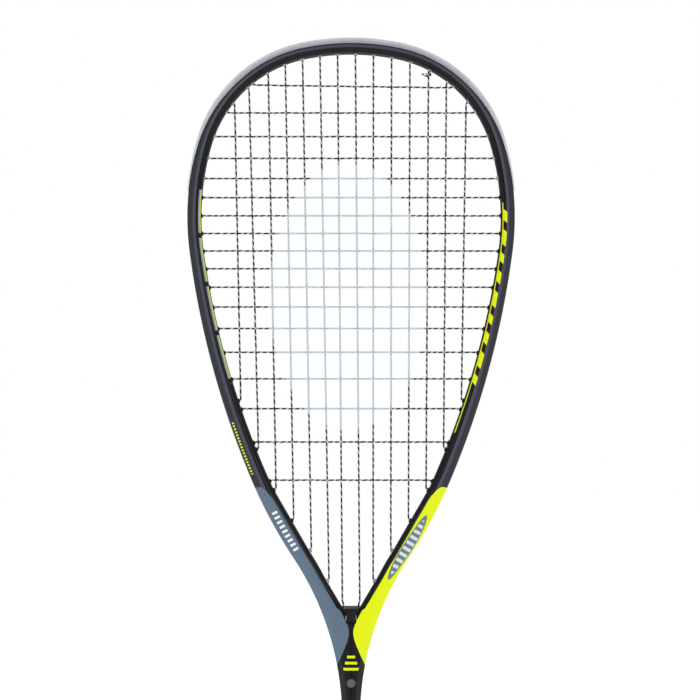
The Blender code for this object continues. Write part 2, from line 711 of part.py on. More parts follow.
def main():
    clear_scene()
    carbon = material("carbon_lacquer", (0.045, 0.045, 0.06), 0.3)
    black = material("black_plastic", (0.02, 0.02, 0.022), 0.45)
    clear_grey = material("clear_grey_plastic", (0.55, 0.55, 0.57), 0.35)
    nylon = material("light_nylon", (0.75, 0.75, 0.72), 0.4)
    string_m = material("string_nylon", (0.72, 0.72, 0.74), 0.35)
    foam = material("core_foam", (0.35, 0.34, 0.32), 0.8)
    grip = material("grip_polyurethane", (0.03, 0.03, 0.035), 0.75)
    tape = material("finishing_tape", (0.05, 0.05, 0.055), 0.4)
    rubber = material("collar_rubber", (0.02, 0.02, 0.02), 0.6)

    frame = build_frame(carbon)
    build_guards(clear_grey, black, nylon)
    cut(frame, hole_prisms("tube_holes", HOLES.values(), TUBE_HOLE_R, HOLE_OVER, HOLE_OVER))
    build_insert(black)
    build_strings(string_m)
    build_knot(string_m)
    build_handle(foam, grip, tape, rubber, black)


main()
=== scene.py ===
"""Looks of a squash racket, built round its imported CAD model. Metres, +Z up, face in the XZ plane."""
import math
from functools import partialmethod

import bmesh
import bpy
import numpy as np
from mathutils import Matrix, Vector
from mathutils.geometry import intersect_line_line_2d


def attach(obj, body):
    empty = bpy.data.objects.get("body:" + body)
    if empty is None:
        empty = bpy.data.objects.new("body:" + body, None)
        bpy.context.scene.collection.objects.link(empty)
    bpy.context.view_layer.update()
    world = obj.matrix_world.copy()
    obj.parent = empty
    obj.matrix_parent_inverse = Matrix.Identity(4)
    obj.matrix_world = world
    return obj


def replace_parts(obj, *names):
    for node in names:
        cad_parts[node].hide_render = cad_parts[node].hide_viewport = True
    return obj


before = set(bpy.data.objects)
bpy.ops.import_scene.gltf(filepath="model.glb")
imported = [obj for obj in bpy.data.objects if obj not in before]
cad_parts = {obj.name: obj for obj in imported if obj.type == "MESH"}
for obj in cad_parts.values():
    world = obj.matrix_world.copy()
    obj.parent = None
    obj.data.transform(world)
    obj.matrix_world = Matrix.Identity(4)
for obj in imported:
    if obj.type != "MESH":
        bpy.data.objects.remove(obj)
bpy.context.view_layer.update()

MM = 0.001

# ================================================================ sizes, as in the CAD source (mm)
LENGTH, BUMPER_PROUD = 686.0, 1.2
HEAD_TOP = LENGTH - BUMPER_PROUD
HEAD_ARCS = [(160.0, 11.5), (90.0, 62.5), (180.0, 23.5), (575.0, 15.5), (315.0, 10.5)]
SHAFT_HALF = 6.0
TUBE_HALF_DEPTH, SHAFT_HALF_DEPTH = 10.0, 8.5
TUBE_WIDTH, ARM_WIDTH = 8.8, 11.3
CHANNEL_DEPTH, CHANNEL_FLOOR, CHANNEL_LIP = 2.7, 2.9, 3.7
POCKET_HALF, POCKET_FLOOR_Z, INSERT_TOP_Z, SHAFT_FOOT_Z = 3.4, 302.5, 312.3, 6.0
THROAT_HALF, THROAT_SLOPE = 6.3, 0.58
LEVEL_LEAD, LEVEL_SPAN = 45.0, 40.0
DEPTH_LEAD, DEPTH_SPAN = 60.0, 120.0
CHANNEL_END_Z, CHANNEL_FADE, SHAPE_BLEND = 322.0, 12.0, 30.0
BEVEL_EDGE, BEVEL_RUN = (-0.2, 5.6), (-4.05, 3.7)
RIDGE_SHARE, RIDGE_V, CREST_SHARE = 0.48, 9.3, 0.69
INNER_EDGE, INNER_V, WALL_V = 0.9, 8.7, 6.4
SHAFT_BEVEL, SHAFT_BEVEL_SHARE, SHAFT_RIDGE_V, SHAFT_EDGE = 4.1, 0.55, 9.4, 0.8
STRING_R, WEAVE = 0.6, 0.78
BARREL_BORE, BARREL_R, BARREL_PROUD = 1.0, 1.4, 1.0
HOLE_PITCH_MIN, HOLE_END_CLEAR, MOUTH_PAST = 4.8, 4.0, 0.7
MAINS, MAIN_PITCH, MAIN_DRIFT = 14, 11.7, -3.0
MAIN_FOOT_FIRST, MAIN_FOOT_PITCH = 14.5, 11.6
CROSSES, CROSS_TOP_Z, CROSS_CLOSEST, CROSS_PITCH = 18, 654.0, 7, 11.5
CROSS_RISE_HEAD, CROSS_RISE_THROAT = 5.5, 13.4
LANE, RUN_U, RUN_TURN, RUN_STEP, RUN_CLEAR, CROSSING_CLEAR = 1.4, -0.7, 2.6, 4.0, 0.2, 1.0
MIDDLE_FOOT, INSERT_MOUTH, INSERT_TURN = (5.7, 316.5), (4.75, 312.9), (2.15, 307.7)
BUMPER_END_Z, SIDE_END_Z = 586.0, 466.0
STRIP_SKIN, STRIP_HALF, STRIP_TAIL, PAD_HALF, GAP = 0.8, 2.5, 5.0, 2.3, 0.3
SEAT = 0.06         # seam between fitted pieces where it shows
BUMPER_FADE_LEAD, BUMPER_FADE_SPAN, BUMPER_SKIN = 85.0, 80.0, 0.75
BUMPER_WING_LOW, BUMPER_WING_SPAN = 0.05, 0.67
BUMPER_THICK_LOW, BUMPER_THICK_SPAN = 0.45, 0.45
BUMPER_FOOT_V, BUMPER_LIP_V, BUMPER_SEAT_V = 2.2, 5.4, 5.7
RAIL_CLEAR, RAIL_FLOOR_CLEAR = 0.35, 0.32
INSERT_HALF_DEPTH = 8.6
GRIP_TOP_Z, CORE_X, CORE_Y, CORE_CHAMFER, GRIP_THICK = 200.0, 13.0, 11.0, 5.0, 1.8
CAP_FLANGE, CAP_SLEEVE_TOP = 4.5, 22.0


# ================================================================ the tube's outer line
def build_segments():
    segs, x, z, h, s = [], 0.0, HEAD_TOP, 0.0, 0.0
    for radius, turn in HEAD_ARCS:
        a = math.radians(turn)
        segs.append((s, x, z, h, radius, radius * a))
        cx, cz = x - radius * math.sin(h), z - radius * math.cos(h)
        h += a
        x, z, s = cx + radius * math.sin(h), cz + radius * math.cos(h), s + radius * a
    a = h - math.pi / 2
    throat = (x - SHAFT_HALF) / (1 - math.sin(h))
    segs.append((s, x, z, h, -throat, throat * a))
    z, s = z + throat * math.cos(h), s + throat * a
    segs.append((s, SHAFT_HALF, z, math.pi / 2, 0.0, z - SHAFT_FOOT_Z))
    return segs


SEGS = build_segments()
SHAFT_START = SEGS[-1][0]
TOTAL = SHAFT_START + SEGS[-1][5]


def outer(s):
    for s0, x, z, h, radius, _ in reversed(SEGS):
        if s >= s0 - 1e-9:
            break
    t = s - s0
    if radius == 0.0:
        return x, z - t, h
    a = t / radius
    cx, cz = x - radius * math.sin(h), z - radius * math.cos(h)
    return cx + radius * math.sin(h + a), cz + radius * math.cos(h + a), h + a


def station_at(test, lo=0.0, hi=None):
    hi = TOTAL if hi is None else hi
    for _ in range(50):
        mid = (lo + hi) / 2
        lo, hi = (mid, hi) if test(mid) else (lo, mid)
    return (lo + hi) / 2


def smooth(t):
    t = min(1.0, max(0.0, t))
    return t * t * (3 - 2 * t)


def at_height(z):
    return station_at(lambda s: outer(s)[1] > z)


POCKET_S = at_height(POCKET_FLOOR_Z)
WIDTH_START = sum(math.radians(a) * r for r, a in HEAD_ARCS[:3])
LEVEL_START = POCKET_S - LEVEL_LEAD
CHANNEL_END = at_height(CHANNEL_END_Z)
POCKET_TOP_Z = INSERT_TOP_Z - (THROAT_HALF - POCKET_HALF) / THROAT_SLOPE
BUMPER_END = at_height(BUMPER_END_Z)
IN_THE_ARMS = 400.0         # a station past the widest place and before the throat
WIDEST = station_at(lambda s: outer(s)[2] < math.pi / 2, 0.0, IN_THE_ARMS)


def side_dir(s):
    h = outer(s)[2]
    nx, nz = math.sin(h), math.cos(h)
    k = smooth((s - LEVEL_START) / LEVEL_SPAN)
    nx, nz = nx * (1 - k) + k, nz * (1 - k)
    n = math.hypot(nx, nz)
    return nx / n, nz / n


def width(s):
    nx, nz = side_dir(s)
    x, z, _ = outer(s)
    if s > POCKET_S + 1e-6:
        return x / nx
    if s < WIDTH_START:
        return TUBE_WIDTH
    t = (s - WIDTH_START) / (POCKET_S - WIDTH_START)
    even = TUBE_WIDTH + (ARM_WIDTH - TUBE_WIDTH) * t
    straight = (x - THROAT_HALF - THROAT_SLOPE * (z - INSERT_TOP_Z)) / (nx - THROAT_SLOPE * nz)
    return max(even, min(straight, (x - POCKET_HALF) / nx))


def place(s, u, v, side=1):
    x, z, _ = outer(s)
    nx, nz = side_dir(s)
    return (side * (x + u * nx), v, z + u * nz)


def half_depth(s):
    k = smooth((s - POCKET_S + DEPTH_LEAD) / DEPTH_SPAN)
    return TUBE_HALF_DEPTH + (SHAFT_HALF_DEPTH - TUBE_HALF_DEPTH) * k


def spread(lo, hi, step):
    n = max(1, math.ceil(abs(hi - lo) / step))
    return [lo + (hi - lo) * i / n for i in range(n + 1)]


# ================================================================ stringing plan
def spot(s, u, v=0.0):
    """Like place, for a signed station: negative on the left."""
    return Vector(place(abs(s), u, v, 1 if s >= 0 else -1))


def mouth(s):
    return spot(s, -width(abs(s)) - BARREL_PROUD - MOUTH_PAST)


def space_out(holes):
    for _ in range(40):
        order = sorted(holes, key=holes.get)
        for a, b in zip(order, order[1:]):
            lack = HOLE_PITCH_MIN - (holes[b] - holes[a])
            if lack > 1e-6:
                holes[a] -= lack / 2
                holes[b] += lack / 2


def main_top(i):
    k = i - (MAINS - 1) / 2
    return MAIN_PITCH * k + MAIN_DRIFT * (1 - (2 * k / MAINS) ** 2)


def cross_heights():
    out = [CROSS_TOP_Z]
    for j in range(CROSSES - 1):
        if j < CROSS_CLOSEST:
            t, rise = 1 - j / CROSS_CLOSEST, CROSS_RISE_HEAD
        else:
            t, rise = (j - CROSS_CLOSEST) / (CROSSES - 2 - CROSS_CLOSEST), CROSS_RISE_THROAT
        out.append(out[-1] - CROSS_PITCH - rise * t * t)
    return out


def plan_holes():
    """Signed stations of the holes: mains at the head and in the arms, crosses on both sides."""
    holes = {}
    for side in (1, -1):
        mine = {}
        end = POCKET_S - HOLE_END_CLEAR
        for i in range(MAINS):
            x = main_top(i) * side
            if x > 0:
                mine["head", i] = station_at(lambda s: mouth(s).x < x, 0.0, WIDEST)
        for k in range(MAINS // 2 - 1):
            x = MAIN_FOOT_FIRST + MAIN_FOOT_PITCH * k
            i = MAINS // 2 + 1 + k if side == 1 else MAINS // 2 - 2 - k
            mine["arm", i] = station_at(lambda s: mouth(s).x > x, WIDEST, end)
        for j, z in enumerate(cross_heights()):
            mine["cross", j, side] = station_at(lambda s: mouth(s).z > z, 0.0, end)
        space_out(mine)
        holes.update({key: side * s for key, s in mine.items()})
    return holes


HOLES = plan_holes()


def main_line(i):
    foot = HOLES.get(("arm", i))
    if foot is None:
        side = 1 if i >= MAINS // 2 else -1
        return mouth(HOLES["head", i]), Vector((side * MIDDLE_FOOT[0], 0.0, MIDDLE_FOOT[1]))
    return mouth(HOLES["head", i]), mouth(foot)


def cross_line(j):
    return mouth(HOLES["cross", j, -1]), mouth(HOLES["cross", j, 1])


def crossing(i, j):
    """Where main i meets cross j in the plane, or None."""
    (a, b), (left, right) = main_line(i), cross_line(j)
    met = intersect_line_line_2d(a.xz, b.xz, left.xz, right.xz)
    if met is None or abs(met.x) > right.x - CROSSING_CLEAR:
        return None
    if not b.z + CROSSING_CLEAR < met.y < a.z - CROSSING_CLEAR:
        return None
    return Vector((met.x, 0.0, met.y))


def channel_run(sa, sb, lane):
    """Points of a run in the channel between two signed stations."""
    step = RUN_TURN if sb > sa else -RUN_TURN
    n = max(1, round(abs(sb - sa) / RUN_STEP))
    inner = [spot(sa + (sb - sa) * i / n, RUN_U, lane) for i in range(1, n)
             if min(i, n - i) * abs(sb - sa) / n > RUN_TURN + RUN_CLEAR]
    return [spot(sa, RUN_U), spot(sa + step, RUN_U, lane), *inner,
            spot(sb - step, RUN_U, lane), spot(sb, RUN_U)]


def woven(line, over):
    """Points of one string from end to end, over or under each one that it crosses."""
    a, b = line
    middle = [Vector((p.x, WEAVE if up else -WEAVE, p.z)) for p, up in over if p is not None]
    return [a, *middle, b]


def main_points(i):
    return woven(main_line(i), [(crossing(i, j), (i + j) % 2 == 0) for j in range(CROSSES)])


def cross_points(j):
    return woven(cross_line(j), [(crossing(i, j), (i + j) % 2 == 1) for i in range(MAINS)])


def main_path():
    path = [spot(HOLES["head", 0], RUN_U)]
    for i in range(MAINS):
        down = i % 2 == 0
        path += main_points(i) if down else main_points(i)[::-1]
        if i == MAINS - 1:
            path.append(spot(HOLES["head", i], RUN_U))
        elif down and ("arm", i) not in HOLES:
            (mx, mz), (tx, tz) = INSERT_MOUTH, INSERT_TURN
            path += [Vector((x, 0.0, z)) for x, z in ((-mx, mz), (-tx, tz), (tx, tz), (mx, mz))]
        else:
            end = "arm" if down else "head"
            path += channel_run(HOLES[end, i], HOLES[end, i + 1], LANE)
    return path


def cross_path():
    path = [spot(HOLES["cross", 0, -1], RUN_U)]
    for j in range(CROSSES):
        side = 1 if j % 2 == 0 else -1
        path += cross_points(j) if side == 1 else cross_points(j)[::-1]
        if j < CROSSES - 1:
            path += channel_run(HOLES["cross", j, side], HOLES["cross", j + 1, side], -LANE)
    path.append(spot(HOLES["cross", CROSSES - 1, side], RUN_U))
    return path


# ================================================================ mesh helpers
NEAR_HALF = 0.46            # largest share of a side that the rounding of one corner takes


def rounded(poly, radius, n=4):
    """Rounds each corner of a 2-D outline with n + 1 points. Keeps the count the same for any size."""
    out, m = [], len(poly)
    for i, p in enumerate(poly):
        a, b = poly[i - 1], poly[(i + 1) % m]
        va = np.subtract(a, p).astype(float)
        vb = np.subtract(b, p).astype(float)
        la, lb = np.hypot(*va), np.hypot(*vb)
        cut = min(radius, NEAR_HALF * la, NEAR_HALF * lb)
        pa, pb = np.add(p, va / la * cut), np.add(p, vb / lb * cut)
        for k in range(n + 1):
            t = k / n
            q = (1 - t) ** 2 * pa + 2 * t * (1 - t) * np.array(p, float) + t * t * pb
            out.append((float(q[0]), float(q[1])))
    return out


def linked(name, data):
    """A new object that holds the data, in the scene."""
    ob = bpy.data.objects.new(name, data)
    bpy.context.scene.collection.objects.link(ob)
    return ob


class Build:
    """Collects grids of quads with a map of two numbers per corner, then makes one mesh."""

    def __init__(self):
        self.verts, self.faces, self.uvs, self.count = [], [], [], 0

    def grid(self, rings, us, ends=False, vs=None):
        """rings: M closed rings of N points. us: M values along. vs: N + 1 values round, even
        steps from 0 to 1 if not given. ends closes the first ring and the last."""
        pts = np.array(rings, float)
        m, n, _ = pts.shape
        base = self.count
        self.verts.append(pts.reshape(-1, 3))
        self.count += m * n
        i, j = np.meshgrid(np.arange(m - 1), np.arange(n), indexing="ij")
        j2 = (j + 1) % n
        quad = np.stack([i * n + j, i * n + j2, (i + 1) * n + j2, (i + 1) * n + j], -1) + base
        us, vs = np.array(us, float), np.arange(n + 1) / n if vs is None else vs
        uv = np.stack([np.stack([us[i], vs[j]], -1), np.stack([us[i], vs[j + 1]], -1),
                       np.stack([us[i + 1], vs[j + 1]], -1), np.stack([us[i + 1], vs[j]], -1)], 2)
        self.faces += quad.reshape(-1, 4).tolist()
        self.uvs.append(uv.reshape(-1, 2))
        if ends:
            self.cap(base, n, True)
            self.cap(base + (m - 1) * n, n, False)

    def cap(self, start, n, flip):
        """Closes a ring of n points with a fan round a new middle point."""
        ring = np.concatenate(self.verts)[start:start + n]
        self.verts.append(ring.mean(0)[None, :])
        mid = self.count
        self.count += 1
        for k in range(n):
            a, b = start + k, start + (k + 1) % n
            self.faces.append([mid, b, a] if flip else [mid, a, b])
            self.uvs.append(np.zeros((3, 2)))

    def make(self, name, mats, angle=40.0):
        me = bpy.data.meshes.new(name)
        verts = np.concatenate(self.verts) * MM
        me.from_pydata(verts.tolist(), [], self.faces)
        layer = me.uv_layers.new(name="Track")
        layer.data.foreach_set("uv", np.concatenate(self.uvs).astype(np.float32).reshape(-1))
        ob = linked(name, me)
        for m in mats:
            me.materials.append(m)
        weld(me)
        me.shade_smooth()
        me.set_sharp_from_angle(angle=math.radians(angle))
        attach(ob, "root")
        return ob


def transport(pts):
    """The path's points and two turning-free side vectors along it."""
    pts = np.array(pts, float)
    d = np.diff(pts, axis=0)
    d /= np.linalg.norm(d, axis=1)[:, None]
    t = np.vstack([d[:1], d[:-1] + d[1:], d[-1:]])
    t /= np.linalg.norm(t, axis=1)[:, None]
    ref = np.array([0.0, 1.0, 0.0]) if abs(t[0][1]) < 0.9 else np.array([1.0, 0.0, 0.0])
    e = np.cross(t[0], ref)
    e /= np.linalg.norm(e)
    e1 = [e]
    for k in range(1, len(pts)):
        e = e1[-1] - t[k] * np.dot(e1[-1], t[k])
        e1.append(e / np.linalg.norm(e))
    e1 = np.array(e1)
    return pts, e1, np.cross(t, e1)


def add_tube(build, path, radius, sides):
    """A round tube along a path, with capped ends."""
    pts, e1, e2 = transport(path)
    run = np.concatenate([[0], np.cumsum(np.linalg.norm(np.diff(pts, axis=0), axis=1))])
    ang = 2 * np.pi * np.arange(sides) / sides
    rings = pts[:, None] + radius * (np.cos(ang)[None, :, None] * e1[:, None]
                                     + np.sin(ang)[None, :, None] * e2[:, None])
    build.grid(rings, run * MM, ends=True)


def soften(path, cut=1.3, limit=25.0, n=5):
    """Rounds the sharp corners of a path of points and leaves its gentle ones."""
    pts = [np.array(p, float) for p in path]
    out = [pts[0]]
    for a, p, b in zip(pts, pts[1:], pts[2:]):
        va, vb = a - p, b - p
        la, lb = np.linalg.norm(va), np.linalg.norm(vb)
        cosine = np.dot(va, vb) / (la * lb)
        if math.degrees(math.acos(max(-1, min(1, cosine)))) > 180 - limit:
            out.append(p)
            continue
        c = min(cut, NEAR_HALF * la, NEAR_HALF * lb)
        pa, pb = p + va / la * c, p + vb / lb * c
        for k in range(n + 1):
            t = k / n
            out.append((1 - t) ** 2 * pa + 2 * t * (1 - t) * p + t * t * pb)
    return out + [pts[-1]]


def eased(path, step=1.9):
    """Adds points so that the over-and-under wave turns smoothly at each crossing."""
    out = [path[0]]
    for a, b in zip(path, path[1:]):
        n = max(1, round(np.linalg.norm(b - a) / step))
        for k in range(1, n + 1):
            t = k / n
            q = a + (b - a) * t
            q[1] = a[1] + (b[1] - a[1]) * (0.5 - 0.5 * math.cos(math.pi * t))
            out.append(q)
    return out


# ================================================================ material helpers
class Nodes:
    """Short calls that add linked nodes to one material."""

    def __init__(self, name):
        self.mat = bpy.data.materials.new(name)
        self.mat.use_nodes = True
        self.tree = self.mat.node_tree
        self.bsdf = self.tree.nodes["Principled BSDF"]

    def node(self, kind, **props):
        n = self.tree.nodes.new(kind)
        for k, v in props.items():
            setattr(n, k, v)
        return n

    def put(self, socket, value):
        if isinstance(value, bpy.types.NodeSocket):
            self.tree.links.new(value, socket)
        elif isinstance(value, (tuple, list)) and len(value) == 3 and len(socket.default_value) == 4:
            socket.default_value = (*value, 1.0)
        else:
            socket.default_value = value

    def math(self, op, *values, clamp=False):
        n = self.node("ShaderNodeMath", operation=op, use_clamp=clamp)
        for s, v in zip(n.inputs, values):
            self.put(s, v)
        return n.outputs[0]

    add = partialmethod(math, "ADD")
    sub = partialmethod(math, "SUBTRACT")
    mul = partialmethod(math, "MULTIPLY")
    div = partialmethod(math, "DIVIDE")
    power = partialmethod(math, "POWER")
    size = partialmethod(math, "ABSOLUTE")
    fract = partialmethod(math, "FRACT")
    rest = partialmethod(math, "SUBTRACT", 1.0)

    def step(self, x, lo, hi):
        """0 below lo, 1 above hi, smooth between."""
        n = self.node("ShaderNodeMapRange", interpolation_type="SMOOTHSTEP")
        for s, v in zip(n.inputs, (x, lo, hi, 0.0, 1.0)):
            self.put(s, v)
        return n.outputs[0]

    def band(self, x, lo, hi, soft):
        a = self.step(x, lo - soft, lo + soft)
        b = self.step(x, hi - soft, hi + soft)
        return self.sub(a, b, clamp=True)

    def both(self, *masks):
        out = masks[0]
        for m in masks[1:]:
            out = self.mul(out, m)
        return out

    def either(self, *masks):
        out = masks[0]
        for m in masks[1:]:
            out = self.math("MAXIMUM", out, m)
        return out

    def mix(self, fac, a, b):
        n = self.node("ShaderNodeMix", data_type="RGBA")
        self.put(n.inputs[0], fac)
        self.put(n.inputs[6], a)
        self.put(n.inputs[7], b)
        return n.outputs[2]

    def lerp(self, fac, a, b):
        n = self.node("ShaderNodeMix", data_type="FLOAT")
        self.put(n.inputs[0], fac)
        self.put(n.inputs[2], a)
        self.put(n.inputs[3], b)
        return n.outputs[0]

    def squares(self, a, b):
        """The sum of two squares."""
        return self.add(self.power(self.size(a), 2.0), self.power(self.size(b), 2.0))

    def place(self):
        if not hasattr(self, "_coord"):
            self._coord = self.node("ShaderNodeTexCoord").outputs["Object"]
        return self._coord

    def split(self, vector):
        n = self.node("ShaderNodeSeparateXYZ")
        self.put(n.inputs[0], vector)
        return n.outputs

    def join(self, x, y, z=0.0):
        n = self.node("ShaderNodeCombineXYZ")
        for s, v in zip(n.inputs, (x, y, z)):
            self.put(s, v)
        return n.outputs[0]

    def track(self, name="Track"):
        return self.split(self.node("ShaderNodeUVMap", uv_map=name).outputs[0])

    def value(self, name):
        return self.node("ShaderNodeAttribute", attribute_name=name).outputs["Fac"]

    def noise(self, scale, detail=4.0, rough=0.55, vector=None):
        n = self.node("ShaderNodeTexNoise")
        self.put(n.inputs["Vector"], vector if vector is not None else self.place())
        for k, v in (("Scale", scale), ("Detail", detail), ("Roughness", rough)):
            self.put(n.inputs[k], v)
        return n.outputs[0]

    def cells(self, scale):
        n = self.node("ShaderNodeTexVoronoi")
        self.put(n.inputs["Vector"], self.place())
        self.put(n.inputs["Scale"], scale)
        return n.outputs["Distance"]

    def bump(self, height, distance, strength):
        n = self.node("ShaderNodeBump")
        self.put(n.inputs["Strength"], strength)
        self.put(n.inputs["Distance"], distance)
        self.put(n.inputs["Height"], height)
        return n.outputs[0]

    def finish(self, colour, rough, normal, **plain):
        """Links the look to the shader; plain values go on its own sockets."""
        self.put(self.bsdf.inputs["Base Color"], colour)
        self.put(self.bsdf.inputs["Roughness"], rough)
        self.put(self.bsdf.inputs["Normal"], normal)
        for k, v in plain.items():
            self.put(self.bsdf.inputs[k.replace("_", " ")], v)
        return self.mat


# ================================================================ materials
YELLOW = (0.66, 0.75, 0.0)
SLATE = (0.095, 0.140, 0.195)
INK = (0.48, 0.56, 0.62)
WIND_PITCH, RIB_PITCH = 0.0045, 0.0018      # of the strand round a string, and its fine ribs
PRINT_X, PRINT_Z, PRINT_HALF_X, PRINT_HALF_Z = -0.0020, 0.516, 0.052, 0.088     # oval on the bed
SHAFT_BARS = [(0.2805, 0.0026), (0.2765, 0.0040), (0.2725, 0.0054)]             # z, half width
SHAFT_BAR_HIGH, DOT_Z, DOT_R = 0.0017, 0.2632, 0.0028
HATCH_PITCH, TICK_PITCH = 0.0012, 0.0021
BADGE_MID, BADGE_HALF = 0.0046, 0.0034      # across the arm, in from its outer line
PIN_PITCH, PIN_ROWS = 0.0046, 6.0           # holes in the grip, along and across the strip
PANEL_TOP = at_height(390.7)


def stretch(top, low):
    """Stations of two heights, in metres."""
    return at_height(top) * MM, at_height(low) * MM


MARK_TOP, MARK_LOW = stretch(574.0, 452.5)      # yellow blocks, right inner bevel
SIDE_TOP, SIDE_LOW = stretch(587.0, 457.0)      # pale line, left inner wall
TICK_TOP, TICK_LOW = stretch(433.0, 399.0)      # fine ticks, left outer bevel
BADGE_TOP, BADGE_LOW = stretch(371.0, 329.5)    # oval on the right arm
BARS_TOP, BARS_LOW = stretch(373.5, 346.5)      # pale bars on the left arm


def lacquer():
    """Painted carbon: charcoal bevel whose tone also holds painted side light, a painted highlight band
    along its ridge, black inside, coloured arms and plain geometric marks.

    Track holds the signed run along the tube and the distance in from the outer line, both in
    metres; the zone map holds where a point is round the section; panel is the paint edge."""
    n = Nodes("lacquered_carbon")
    run, inward, _ = n.track()
    zone, _, _ = n.track("Zone")
    s = n.size(run)
    right = n.math("GREATER_THAN", run, 0.0)
    left = n.rest(right)
    panel = n.value("panel")
    x, _, z = n.split(n.place())

    grain = n.noise(900.0, 3.0)
    cloud = n.noise(28.0, 4.0)
    outer_side = n.step(zone, 4.86, 4.94)
    # painted highlight: the band along the ridge is lighter than the bevel beside it, as if it caught
    # the lamps
    ridge_highlight = n.band(zone, 3.93, 4.75, 0.1)
    # charcoal bevel and black inside are two-tone paint, and the bevel's lighter tone is also painted
    # side light
    col = n.mix(ridge_highlight, (0.019, 0.021, 0.030), (0.052, 0.055, 0.074))
    col = n.mix(outer_side, col, (0.0022, 0.0022, 0.0045))
    col = n.mix(n.step(s, SHAFT_START * MM - 0.085, SHAFT_START * MM - 0.05),
                col, n.mix(n.step(zone, 4.0, 4.1), (0.010, 0.010, 0.013), (0.0018, 0.0018, 0.0026)))
    col = n.mix(n.mul(n.step(grain, 0.56, 0.72), 0.12), col, (0.05, 0.05, 0.07))

    # yellow blocks on the right inner bevel: two long and one short in turn
    along = n.sub(s, MARK_TOP)
    span = MARK_LOW - MARK_TOP
    lean = n.mul(n.sub(zone, 5.4), 0.0016)
    turn = n.fract(n.div(n.add(along, lean), span / 3.0))
    blocks = n.either(n.band(turn, 0.03, 0.21, 0.008), n.band(turn, 0.36, 0.60, 0.008),
                      n.band(turn, 0.74, 0.88, 0.008))
    wide = n.band(zone, 4.62, 6.05, 0.02)
    within = n.band(s, MARK_TOP, MARK_LOW, 0.0003)
    blocks = n.both(blocks, wide, within, right)
    line = n.both(n.band(zone, 5.97, 6.45, 0.05), right,
                  n.band(s, MARK_TOP - 0.004, MARK_LOW + 0.03, 0.0006))
    # left inner wall: slate band with a fine yellow-green hatch and three black breaks
    inner_band = n.both(n.band(zone, 5.75, 7.2, 0.06), left, n.band(s, SIDE_TOP, SIDE_LOW, 0.0006))
    part = n.fract(n.div(n.sub(s, SIDE_TOP), (SIDE_LOW - SIDE_TOP) / 4.0))
    breaks = n.band(part, 0.0, 0.90, 0.012)
    hatch = n.fract(n.div(s, HATCH_PITCH))
    hatch = n.both(n.band(hatch, 0.15, 0.75, 0.08), n.band(zone, 6.35, 7.1, 0.05))
    col = n.mix(n.both(inner_band, breaks), col,
                n.mix(n.either(hatch, n.band(zone, 6.7, 7.1, 0.05)), (0.26, 0.32, 0.34), YELLOW))
    # fine ticks on the left outer bevel
    tick = n.fract(n.div(s, TICK_PITCH))
    tick = n.both(n.band(tick, 0.1, 0.62, 0.06), n.band(inward, 0.0015, 0.0029, 0.00012), left,
                  n.band(s, TICK_TOP, TICK_LOW, 0.0002), n.band(zone, 3.0, 4.6, 0.02))

    paint = n.step(panel, -0.06, 0.06)
    arm = n.mix(right, SLATE, YELLOW)
    arm = n.mix(n.mul(n.step(cloud, 0.40, 0.72), 0.10), arm,
                n.mix(right, (0.13, 0.18, 0.24), (0.72, 0.80, 0.01)))
    # pale bars on the left arm
    bar_at = n.div(n.sub(s, BARS_TOP), (BARS_LOW - BARS_TOP))
    bar = n.fract(n.mul(bar_at, 9.0))
    bars = n.both(n.band(bar, 0.12, 0.58, 0.06), n.band(bar_at, 0.0, 1.0, 0.004), left,
                  n.band(inward, 0.0030, 0.0068, 0.00015), n.band(zone, 3.0, 5.6, 0.02))
    arm = n.mix(bars, arm, (0.72, 0.76, 0.80))
    # oval badge on the right arm, with plain pale bars
    mid, half = (BADGE_TOP + BADGE_LOW) / 2, (BADGE_LOW - BADGE_TOP) / 2
    along = n.div(n.sub(s, mid), half)
    across = n.div(n.sub(inward, BADGE_MID), BADGE_HALF)
    ring = n.squares(along, across)
    face = n.band(zone, 3.0, 5.8, 0.02)
    badge = n.both(n.rest(n.step(ring, 0.96, 1.04)), right, face)
    pips = n.fract(n.mul(along, 5.5))
    pips = n.both(n.band(pips, 0.18, 0.66, 0.07), n.rest(n.step(ring, 0.66, 0.74)), right, face)
    arm = n.mix(badge, arm, n.mix(pips, (0.12, 0.17, 0.19), (0.58, 0.64, 0.68)))
    col = n.mix(paint, col, arm)
    col = n.mix(n.either(blocks, line, tick), col, YELLOW)

    # three short bars and a dot below the arms
    mx = n.size(x)
    high = SHAFT_BAR_HIGH / 2
    marks = [n.both(n.band(z, mid - high, mid + high, 0.0001), n.math("LESS_THAN", mx, half))
             for mid, half in SHAFT_BARS]
    top = n.math("GREATER_THAN", zone, 4.05)
    col = n.mix(n.both(n.either(*marks), top), col, YELLOW)
    dot = n.math("SQRT", n.squares(x, n.sub(z, DOT_Z)))
    dot = n.both(n.rest(n.step(dot, DOT_R - 0.0001, DOT_R + 0.0001)), top)
    col = n.mix(dot, col, (0.085, 0.095, 0.115))

    worn = n.both(n.step(n.noise(160.0, 5.0, 0.7), 0.60, 0.70), n.band(zone, 1.7, 3.3, 0.3))
    col = n.mix(n.mul(worn, 0.35), col, (0.10, 0.10, 0.11))
    rough = n.lerp(outer_side, 0.42, 0.26)
    rough = n.lerp(paint, rough, 0.33)
    rough = n.add(rough, n.mul(n.sub(cloud, 0.5), 0.16))
    rough = n.add(rough, n.mul(worn, 0.2), clamp=True)
    peel = n.noise(420.0, 2.0)
    film = n.add(n.mul(peel, 0.5), n.mul(grain, 0.25))
    wall = n.step(zone, 6.0, 6.2)
    rough = n.lerp(wall, rough, 0.75)
    return n.finish(col, rough, n.bump(film, 0.00012, 0.35), Specular_IOR_Level=0.18)


